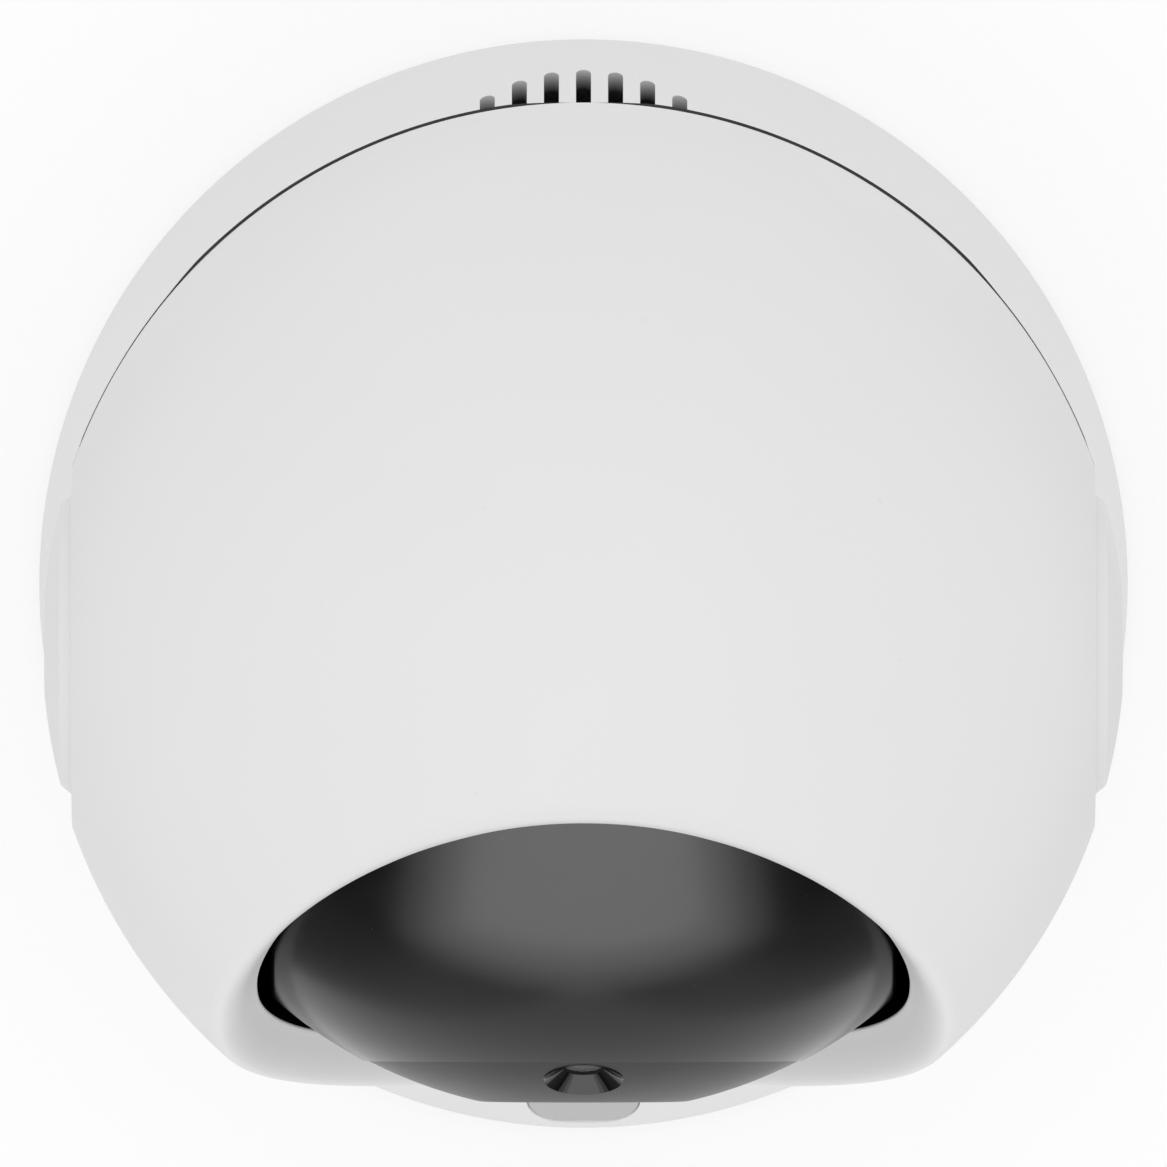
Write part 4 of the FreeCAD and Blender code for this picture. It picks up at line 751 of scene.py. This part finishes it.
def make_ball():
    half = BALL_HALF_WIDTH
    edge = math.sqrt(BALL_RADIUS ** 2 - half ** 2)
    limit = math.asin(half / BALL_RADIUS) - BALL_EDGE / BALL_RADIUS
    arc = [(BALL_RADIUS * math.cos(a), BALL_RADIUS * math.sin(a))
           for a in np.linspace(-limit, limit, 70)]
    start = curve(6, (edge - BALL_EDGE, -half), (edge, -half), arc[0])
    end = curve(6, arc[-1], (edge, half), (edge - BALL_EDGE, half))
    profile = [(r, -half) for r in BALL_SIDE_RADII] + start + arc[1:-1] + end
    profile += [(r, half) for r in BALL_SIDE_RADII[::-1]]
    ball = lathe("ball_dome", profile, (1, 0, 0), 320, "flat")
    for start, end in ((AXIS[1] - CLEAR_ACROSS, AXIS[1] - CAP_SEAT),
                       (AXIS[1] - BALL_BACK, CLEAR_ALONG)):
        boolean(ball, box((-CLEAR_ACROSS, start, 0), (CLEAR_ACROSS, end, CLEAR_TOP)))
    return finish_shading(ball, 32, [on_sphere(BALL_RADIUS)])


def make_face_cap():
    def outer(f):
        return math.sqrt(CAP_RADIUS ** 2 - f ** 2), f

    def inner(f):
        return math.sqrt((CAP_RADIUS - CAP_WALL) ** 2 - f ** 2), f

    arc = [outer(f) for f in np.linspace(CAP_SEAT + CAP_SEAT_EDGE, CAP_FRONT - CAP_EDGE, 26)]
    seat, front = outer(CAP_SEAT), outer(CAP_FRONT)
    back = math.sqrt((CAP_RADIUS - CAP_WALL) ** 2 - WINDOW_RADIUS ** 2)
    profile = [inner(CAP_SEAT)]
    profile += curve(4, (seat[0] - CAP_SEAT_EDGE, CAP_SEAT), seat, arc[0]) + arc[1:-1]
    profile += curve(5, arc[-1], front, (front[0] - CAP_FRONT_EDGE, CAP_FRONT))
    profile += curve(4, (WINDOW_RADIUS + CAP_EDGE, CAP_FRONT), (WINDOW_RADIUS, CAP_FRONT),
                     (WINDOW_RADIUS, CAP_FRONT - CAP_EDGE))
    profile += [(WINDOW_RADIUS, back)] + [inner(f) for f in np.linspace(back, CAP_SEAT, 10)[1:-1]]
    cap = lathe("face_dome", profile, FORWARD, 256, "joined")
    boolean(cap, recess_cutter())
    return finish_shading(cap, 32, [on_sphere(CAP_RADIUS)])


def recess_cutter():
    wide = RECESS_OUTER + (RECESS_OUTER - RECESS_INNER) / RECESS_DEPTH * RECESS_CLEAR
    low, high = RECESS_BOTTOM - RECESS_BORE, CAP_RADIUS + RECESS_CLEAR
    profile = [(TIP, low), (RECESS_INNER, low), (RECESS_INNER, RECESS_BOTTOM), (wide, high),
               (TIP, high)]
    return lathe("recess", profile, SECOND_AXIS, 96)


def make_recess_wall():
    """A thin glossy cone that lines the second lens's recess."""
    slant = np.array([RECESS_OUTER - RECESS_INNER, RECESS_DEPTH])
    slant /= np.linalg.norm(slant)
    across = np.array([slant[1], -slant[0]])
    low = np.array([RECESS_INNER, RECESS_BOTTOM])
    high = low + slant * RECESS_LINING
    profile = [low - across * LINING_IN, high - across * LINING_IN,
               high + across * LINING_OUT, low + across * LINING_OUT]
    return finish_shading(lathe("second_lens_recess", profile, SECOND_AXIS, 96, "joined"), 30)


def make_second_glass():
    edge = RECESS_BOTTOM - SECOND_GLASS_SUNK
    back = edge - SECOND_GLASS_THICK
    rim = SECOND_GLASS_RADII[0]
    face = [(r, edge + SECOND_GLASS_CROWN * (1 - (r / rim) ** 2)) for r in SECOND_GLASS_RADII]
    profile = [(TIP, back), (rim, back)] + face
    return finish_shading(lathe("second_lens_dome", profile, SECOND_AXIS, 72), 40)


def make_second_iris():
    """The dark disc behind the second lens's glass, with its small aperture."""
    profile = shifted(SECOND_IRIS, SECOND_IRIS_FRONT)
    return finish_shading(lathe("second_lens_iris", profile, SECOND_AXIS, 72), 30)


def make_window():
    rim = WINDOW_RADIUS - WINDOW_GAP
    outline = [(TIP, WINDOW_BACK), (rim, WINDOW_BACK), (rim, WINDOW_FRONT), (TIP, WINDOW_FRONT)]
    return finish_shading(lathe("lens_pane", rounded(outline, WINDOW_EDGES, 4), FORWARD, 160), 40)


def make_window_border():
    """The black print on the pane's back that leaves only the lens to be seen."""
    (inner, outer), (near, far) = PRINT_RADII, PRINT_DEPTHS
    profile = [(inner, -far), (outer, -far), (outer, -near), (inner, -near)]
    return finish_shading(lathe("lens_pane_border", shifted(profile, WINDOW_BACK), FORWARD, 160,
                                "joined"), 30)


def make_barrel():
    profile = shifted(BARREL_FACE, BARREL_FRONT)
    for i in range(THREAD_TURNS):
        start = BARREL_FRONT - THREAD_START - i * THREAD_PITCH
        profile += [(BARREL_RADIUS - inward, start - step) for inward, step in THREAD_GROOVE]
    profile += [(BARREL_RADIUS, BARREL_TAIL), (BARREL_BORE, BARREL_TAIL)]
    profile += shifted([(BARREL_BORE, BARREL_STEP[1]), BARREL_STEP], BARREL_FRONT)
    return finish_shading(lathe("main_barrel", profile, FORWARD, 128, "joined"), 30)


def make_iris():
    """The stepped baffle behind the front lens, with the small aperture at its middle."""
    steps = [point for r, ahead in IRIS_STEPS for point in ((r, ahead), (r - 0.1, ahead - 0.12))]
    profile = shifted(IRIS_CUP + steps + IRIS_HOLE, IRIS_FRONT)
    return finish_shading(lathe("main_lens_iris", profile, FORWARD, 128), 30)


def dome(name, radius, base, top, crown):
    """A lens that bulges forward: its face is part of a ball of the crown's radius."""
    face = [(r, top - crown + math.sqrt(crown ** 2 - r ** 2))
            for r in np.linspace(radius, TIP, 16)]
    profile = shifted([(TIP, base), (radius, base)] + face, BARREL_FRONT)
    return finish_shading(lathe(name, profile, FORWARD, 128), 40)


# Foot ring

def make_foot():
    loop = rounded(FOOT_PROFILE, [SKIRT_EDGE, SKIRT_EDGE, 0.0])
    return finish_shading(lathe("foot_ring_soft", loop, (0, 0, 1), 256, "joined", np.zeros(3)), 40)


# Materials

def feed(tree, node, inputs):
    """Gives a node's inputs plain values, or joins other nodes' sockets to them."""
    for name, value in inputs.items():
        if isinstance(value, bpy.types.NodeSocket):
            tree.links.new(value, node.inputs[name])
        else:
            node.inputs[name].default_value = value


def add(tree, kind, inputs=None, **settings):
    node = tree.nodes.new("ShaderNode" + kind)
    for name, value in settings.items():
        setattr(node, name, value)
    feed(tree, node, inputs or {})
    return node


def start_material(name):
    material = bpy.data.materials.new(name)
    material.use_nodes = True
    tree = material.node_tree
    tree.nodes.clear()
    shader = add(tree, "BsdfPrincipled")
    add(tree, "OutputMaterial", {"Surface": shader.outputs["BSDF"]})
    return material, tree, shader, add(tree, "TexCoord").outputs["Object"]


def coat(tree, shader, colour, rough, specular=0.5):
    feed(tree, shader, {"Base Color": colour, "Roughness": rough, "Specular IOR Level": specular})


def split(tree, vector):
    return add(tree, "SeparateXYZ", {"Vector": vector}).outputs


def compute(tree, operation, *values):
    """A math node on sockets and plain numbers."""
    return add(tree, "Math", dict(enumerate(values)), operation=operation).outputs[0]


def noise(tree, coords, scale, detail, stretch=None):
    if stretch:
        coords = add(tree, "Mapping", {"Vector": coords, "Scale": stretch}).outputs["Vector"]
    inputs = {"Vector": coords, "Scale": scale, "Detail": detail}
    return add(tree, "TexNoise", inputs).outputs["Fac"]


def ranged(tree, value, low=0.0, high=1.0, start=0.3, end=0.7):
    """Takes the value's range from start to end to the range from low to high."""
    return add(tree, "MapRange", {"Value": value, "From Min": start, "From Max": end,
                                  "To Min": low, "To Max": high}).outputs["Result"]


def mixed(tree, share, first, second):
    first, second = (c + (1.0,) if isinstance(c, tuple) else c for c in (first, second))
    return add(tree, "Mix", {"Factor": share, 6: first, 7: second}, data_type="RGBA").outputs[2]


def mixed_shader(tree, share, first, second):
    return add(tree, "MixShader", {0: share, 1: first, 2: second}).outputs["Shader"]


def bumped(tree, shader, height, strength, distance, under=None):
    node = add(tree, "Bump", {"Height": height, "Strength": strength, "Distance": distance})
    if under is not None:
        feed(tree, node, {"Normal": under})
    feed(tree, shader, {"Normal": node.outputs["Normal"]})
    return node.outputs["Normal"]


def scaled(colour, factor):
    return tuple(min(1.0, channel * factor) for channel in colour)


def plastic(name, colour, rough, tint, specular=0.5, speck=0.93, grain=9000.0, depth=0.000003):
    """Moulded plastic: slow shifts of tone, fine spark-eroded grain and uneven gloss."""
    material, tree, shader, coords = start_material(name)
    slow = noise(tree, coords, 38.0, 4.0)
    tone = mixed(tree, ranged(tree, slow), scaled(colour, 1 - tint), scaled(colour, 1 + tint))
    specks = ranged(tree, noise(tree, coords, 1400.0, 2.0), 0.0, 1.0, 0.76, 0.8)
    gloss = ranged(tree, noise(tree, coords, 120.0, 5.0), *rough)
    coat(tree, shader, mixed(tree, specks, tone, scaled(colour, speck)), gloss, specular)
    fine = bumped(tree, shader, noise(tree, coords, grain, 2.0), 0.35, depth)
    bumped(tree, shader, slow, 0.2, 0.00002, fine)
    return material


def gloss_black(name, colour, rough, specular, smear=0.06):
    """Polished dark plastic with faint wiping marks, dust and the moulding's slow waves."""
    material, tree, shader, coords = start_material(name)
    cloud = ranged(tree, noise(tree, coords, 60.0, 5.0))
    tone = mixed(tree, cloud, scaled(colour, 0.92), scaled(colour, 1.1))
    dust = ranged(tree, noise(tree, coords, 2600.0, 2.0), 0.0, 0.25, 0.74, 0.8)
    wipes = ranged(tree, noise(tree, coords, 90.0, 6.0, (1.0, 3.5, 1.0)), rough, rough + smear)
    coat(tree, shader, mixed(tree, dust, tone, (0.16, 0.16, 0.16)), wipes, specular)
    bumped(tree, shader, noise(tree, coords, 140.0, 2.0), 0.15, 0.000012)
    return material


def metal(name, colour, rough, stretch=(1.0, 1.0, 1.0), scale=900.0):
    """Plated or turned metal with fine lines, stains and uneven gloss."""
    material, tree, shader, coords = start_material(name)
    lines = noise(tree, coords, scale, 5.0, stretch)
    tone = mixed(tree, ranged(tree, lines), scaled(colour, 0.85), scaled(colour, 1.08))
    stain = ranged(tree, noise(tree, coords, 150.0, 4.0), 0.0, 0.5, 0.55, 0.75)
    coat(tree, shader, mixed(tree, stain, tone, scaled(colour, 0.7)),
         ranged(tree, lines, rough, rough + 0.15))
    feed(tree, shader, {"Metallic": 1.0})
    bumped(tree, shader, lines, 0.3, 0.000006)
    return material


def glass(name, colour, rough, ior, shine, clear=1.0):
    """Tinted glass with a coated face and faint dust."""
    material, tree, shader, coords = start_material(name)
    cloud = ranged(tree, noise(tree, coords, 220.0, 4.0))
    dust = noise(tree, coords, 1800.0, 4.0)
    coat(tree, shader, mixed(tree, cloud, scaled(colour, 0.9), scaled(colour, 1.1)),
         ranged(tree, dust, rough, rough + 0.06, 0.5, 0.8))
    feed(tree, shader, {"IOR": ior, "Transmission Weight": clear, "Specular Tint": shine + (1.0,)})
    bumped(tree, shader, noise(tree, coords, 300.0, 2.0), 0.05, 0.000004)
    return material


def rubber(name, colour):
    """Dusty rubber with a coarse grit."""
    material, tree, shader, coords = start_material(name)
    cloud = ranged(tree, noise(tree, coords, 300.0, 5.0))
    grit = ranged(tree, noise(tree, coords, 2200.0, 3.0), 0.0, 1.0, 0.62, 0.7)
    tone = mixed(tree, grit, mixed(tree, cloud, colour, scaled(colour, 1.35)), scaled(colour, 1.7))
    coat(tree, shader, tone, ranged(tree, cloud, 0.7, 0.9, 0.0, 1.0))
    bumped(tree, shader, noise(tree, coords, 5000.0, 4.0), 0.5, 0.00002)
    return material


def board(name, colour):
    """Solder mask over copper runs, with the weave of the laminate showing faintly."""
    material, tree, shader, coords = start_material(name)
    runs = add(tree, "TexBrick", {
        "Vector": coords, "Scale": 420.0, "Mortar Size": 0.09, "Color1": (0.0, 0.0, 0.0, 1.0),
        "Color2": (0.15, 0.15, 0.15, 1.0), "Mortar": (1.0, 1.0, 1.0, 1.0)})
    share = ranged(tree, runs.outputs["Color"], 0.0, 1.0, 0.0, 1.0)
    weave = ranged(tree, noise(tree, coords, 1500.0, 2.0))
    ground = mixed(tree, weave, scaled(colour, 0.85), scaled(colour, 1.1))
    coat(tree, shader, mixed(tree, share, ground, scaled(colour, 1.7)), 0.32)
    bumped(tree, shader, share, 0.4, 0.00003)
    return material


def cloth(name, colour):
    """Speaker paper with pressed fibres."""
    material, tree, shader, coords = start_material(name)
    fibres = noise(tree, coords, 1200.0, 6.0, (1.0, 1.0, 3.0))
    tone = mixed(tree, ranged(tree, fibres), scaled(colour, 0.7), scaled(colour, 1.3))
    coat(tree, shader, tone, ranged(tree, fibres, 0.75, 0.95))
    bumped(tree, shader, fibres, 0.5, 0.00004)
    return material


# Each slot's material: its kind, then what that kind's function takes
looks = {slot: make(slot + "_look", *values) for slot, (make, *values) in {
    "shell_white": (plastic, (0.8, 0.8, 0.8), (0.42, 0.52), 0.006, 0.22),
    "ball_black": (gloss_black, (0.004, 0.004, 0.0041), 0.19, 0.33, 0.04),
    "cap_black": (gloss_black, (0.032, 0.032, 0.0325), 0.3, 0.12),
    "lens_glass": (glass, (0.8, 0.8, 0.88), 0.0, 1.75, (0.55, 0.45, 1.0)),
    "window_dark": (glass, (0.72, 0.72, 0.75), 0.0, 1.28, (1.0, 1.0, 1.0)),
    "barrel_black": (plastic, (0.018, 0.018, 0.019), (0.4, 0.55), 0.1),
    "grey_window": (plastic, (0.51, 0.51, 0.515), (0.4, 0.48), 0.0, 0.25, 1.0),
    "rubber_grey": (rubber, (0.16, 0.16, 0.165)),
    "cover_white": (plastic, (0.72, 0.72, 0.72), (0.5, 0.62), 0.015, 0.5, 0.93, 6000.0, 0.000008),
    "steel": (metal, (0.6, 0.6, 0.62), 0.28),
    "motor_steel": (metal, (0.62, 0.62, 0.62), 0.3, (1.0, 1.0, 14.0), 300.0),
    "brass": (metal, (0.72, 0.55, 0.26), 0.25, (1.0, 1.0, 30.0), 200.0),
    "gear_acetal": (plastic, (0.8, 0.79, 0.73), (0.35, 0.45), 0.02),
    "board_green": (board, (0.02, 0.13, 0.05)),
    "chip_black": (plastic, (0.03, 0.03, 0.032), (0.5, 0.65), 0.15),
    "lamp_clear": (plastic, (0.75, 0.72, 0.6), (0.1, 0.2), 0.03),
    "speaker_black": (plastic, (0.03, 0.03, 0.03), (0.5, 0.65), 0.1),
    "paper_grey": (cloth, (0.03, 0.03, 0.03)),
    "button_grey": (plastic, (0.25, 0.25, 0.26), (0.4, 0.5), 0.03),
}.items()}


# The CAD nodes that stay take the look of their own slot.
slot_of = {part["node"]: part.get("material_slot") for part in frame["record"]["subparts"]}
for node_name, node in frame["nodes"].items():
    look = looks.get(slot_of.get(node_name), looks["shell_white"])
    for holder in node.material_slots:
        holder.material = look
    if not node.material_slots:
        node.data.materials.append(look)


def place(piece, body, slot, *nodes, look=None):
    """Gives a piece its look (its slot's, unless another look is given) and its body, and hides the
    CAD nodes it stands for.
    """
    piece.data.materials.clear()
    piece.data.materials.append(look or looks[slot])
    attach(piece, body)
    if nodes:
        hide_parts(*nodes)
    return piece


def mark(piece, look, chosen):
    """Gives a second look to the faces whose middles are chosen."""
    piece.data.materials.append(look)
    for face in piece.data.polygons:
        if chosen(*(value / MM for value in face.center)):
            face.material_index = 1


# The slot walls take a painted shade that darkens them deeper in.
mark(place(make_skirt(), "base", "shell_white", "base_shell"), slot_wall_look(), in_slots)
place(pill_piece("status_pill", 0.05, 0.03, PILL_DEPTH, True), "base", "grey_window",
      "status_window")
place(make_foot(), "base", "rubber_grey", "foot_ring")
# Painted shade: the shell's faces behind the opening's edge and in the parting line are near black,
# standing in for the shade in those gaps.
inside_shade_look = plastic("shell_inside_look", (0.006, 0.006, 0.006), (0.7, 0.8), 0.2, 0.05)
for shell, node_name in zip(make_head(), ("head_shell_upper", "head_shell_lower")):
    mark(place(shell, "head", "shell_white", node_name), inside_shade_look, in_head)
# Painted shadow: a dark strip draws the shadow line round the head's back.
place(make_seam_shadow_strip(), "head", "barrel_black")
for name, side in (("right", 1), ("left", -1)):
    place(make_side_cap("side_disc_" + name, side), "head", "shell_white", "side_cap_" + name)
place(make_ball(), "ball", "ball_black", "ball_shell")
place(make_face_cap(), "ball", "cap_black", "face_cap")
recess_wall = place(make_recess_wall(), "ball", "ball_black", look=gloss_black(
    "recess_look", (0.004, 0.004, 0.0041), 0.05, 0.24, 0.03))
second_glass = place(make_second_glass(), "ball", "lens_glass", "second_lens_glass", look=glass(
    "second_lens_look", (0.36, 0.36, 0.37), 0.04, 1.5, (0.8, 0.8, 1.0), 0.66))
place(make_second_iris(), "ball", "barrel_black")
place(make_window(), "ball", "window_dark", "lens_window")
place(make_window_border(), "ball", "barrel_black")
place(make_barrel(), "ball", "barrel_black", "main_lens_barrel")
place(dome("main_lens_dome", *MAIN_LENS), "ball", "lens_glass", "main_lens_glass")
place(make_iris(), "ball", "barrel_black")
place(dome("main_lens_core", *CORE_LENS), "ball", "lens_glass")


# Floor, light and camera: lengths in metres

WORLD_LIGHT = 0.945
# What glossy pieces mirror: dark walls under a white ceiling, paler low down in the middle
CEILING = (0.07, 1.0, 0.3, 0.9)
LOW_WALLS = (0.58, 0.18, 0.38, 0.58)
LOW_WALLS_FADE = (1.0, 0.0, -0.2, 0.0)
FLOOR_SIDE = 0.085
FLOOR_AHEAD = 3.0
FLOOR_DROP = 0.00002
# The floor's own white takes over from its shaded paper between two distances.
FLOOR_FADE = (0.75, 1.0, 0.052, 0.082)
# The key lamp's place, the point it faces, its width, height and power
KEY = ((0.0, -0.4, 1.3), (0, 0, 0.05), 1.2, 1.2, 1.1)
# The softbox's bright middle and its fainter borders: rise in degrees, width, height, glow.
SOFTBOX = [(33, 0.80, 0.70, 1.7), (31.5, 1.05, 0.94, 1.5), (30.5, 1.34, 1.15, 1.4)]
SOFTBOX_AWAY = 0.87
SOFTBOX_STEP = 0.01
# The softboxes light only pieces with these looks.
POLISHED = ("ball_black", "cap_black", "lens_glass", "window_dark", "barrel_black")
SENSOR_WIDTH = 36.0
LENS = 1500.0
VIEW_WIDTH = 0.09654


def seen_ray(tree, *kinds):
    """One for rays of the named kinds, else nought."""
    first, *others = (add(tree, "LightPath").outputs[kind] for kind in kinds)
    for other in others:
        first = compute(tree, "MAXIMUM", first, other)
    return first


def make_floor():
    """White paper that keeps the object's shadow and can't be seen from below."""
    mesh = bpy.data.meshes.new("floor")
    side, ahead = FLOOR_SIDE, FLOOR_AHEAD
    corners = [(-side, -ahead), (side, -ahead), (side, side), (-side, side)]
    mesh.from_pydata([(x, y, -FLOOR_DROP) for x, y in corners], [], [(0, 1, 2, 3)])
    floor = new_object("floor", mesh)
    material, tree, shader, coords = start_material("floor_look")
    shade = ranged(tree, noise(tree, coords, 3.0, 2.0))
    coat(tree, shader, mixed(tree, shade, (0.93, 0.93, 0.93), (0.95, 0.95, 0.95)), 0.9, 0.0)
    glow = add(tree, "Emission", {"Color": (1.0, 1.0, 1.0, 1.0)})
    away = add(tree, "VectorMath", {0: coords}, operation="LENGTH")
    share = compute(tree, "MULTIPLY", ranged(tree, away.outputs["Value"], *FLOOR_FADE),
                    seen_ray(tree, "Is Camera Ray", "Is Glossy Ray", "Is Transmission Ray"))
    paper = mixed_shader(tree, share, shader.outputs["BSDF"], glow.outputs["Emission"])
    from_below = add(tree, "NewGeometry").outputs["Backfacing"]
    clear = add(tree, "BsdfTransparent").outputs["BSDF"]
    out = next(n for n in tree.nodes if n.type == "OUTPUT_MATERIAL")
    feed(tree, out, {"Surface": mixed_shader(tree, from_below, paper, clear)})
    mesh.materials.append(material)


def backdrop(tree, strength):
    colour = (1.0, 1.0, 1.0, 1.0)
    return add(tree, "Background", {"Color": colour, "Strength": strength}).outputs["Background"]


def make_world():
    """Even white light; glossy rays see a white ceiling over the studio's dark walls."""
    world = bpy.data.worlds.new("studio")
    bpy.context.scene.world = world
    world.use_nodes = True
    tree = world.node_tree
    tree.nodes.clear()
    x, _, z = split(tree, add(tree, "TexCoord").outputs["Generated"])
    low_walls = compute(tree, "MULTIPLY", ranged(tree, z, *LOW_WALLS_FADE),
                        ranged(tree, compute(tree, "ABSOLUTE", x), *LOW_WALLS))
    walls = compute(tree, "ADD", ranged(tree, z, *CEILING), low_walls)
    result = mixed_shader(tree, seen_ray(tree, "Is Glossy Ray"), backdrop(tree, WORLD_LIGHT),
                          backdrop(tree, walls))
    result = mixed_shader(tree, seen_ray(tree, "Is Camera Ray", "Is Transmission Ray"), result,
                          backdrop(tree, 1.0))
    add(tree, "OutputWorld", {"Surface": result})
    world.cycles.sampling_method = "NONE"


def make_lamp(name, location, target, width, height, power):
    light = bpy.data.lights.new(name, "AREA")
    light.shape = "RECTANGLE"
    light.size, light.size_y = width, height
    light.energy = power
    lamp = new_object(name, light)
    lamp.location = location
    lamp.visible_camera = False
    way = mathutils.Vector(target) - lamp.location
    lamp.rotation_mode = "QUATERNION"
    lamp.rotation_quaternion = way.to_track_quat("-Z", "Y")
    return lamp


def make_softboxes():
    """Three nested softboxes in front, for the dark glossy pieces and the glass alone."""
    polished = bpy.data.collections.new("polished")
    shiny = [looks[name] for name in POLISHED]
    for thing in bpy.context.scene.objects:
        if thing.type == "MESH" and thing.material_slots:
            if thing.material_slots[0].material in shiny or thing in (recess_wall, second_glass):
                polished.objects.link(thing)
    middle = AXIS[2] * MM
    for number, (rise, width, height, glow) in enumerate(SOFTBOX):
        away = SOFTBOX_AWAY + SOFTBOX_STEP * number
        location = (0.0, -away * math.cos(math.radians(rise)),
                    middle + away * math.sin(math.radians(rise)))
        softbox = make_lamp("softbox_%d" % (number + 1), location, (0, 0, middle), width, height,
                            glow * math.pi * width * height)
        softbox.visible_diffuse = False
        softbox.light_linking.receiver_collection = polished


def make_camera():
    data = bpy.data.cameras.new("camera")
    camera = new_object("camera", data)
    data.sensor_width = SENSOR_WIDTH
    data.lens = LENS
    data.clip_start, data.clip_end = 0.1, 60.0
    camera.location = (0.0, 0.0, VIEW_WIDTH * LENS / SENSOR_WIDTH)
    camera.rotation_euler = (0.0, 0.0, 0.0)
    bpy.context.scene.camera = camera


make_floor()
make_world()
make_camera()
make_lamp("key", *KEY)
make_softboxes()

view = bpy.context.scene.view_settings
view.view_transform = "Standard"
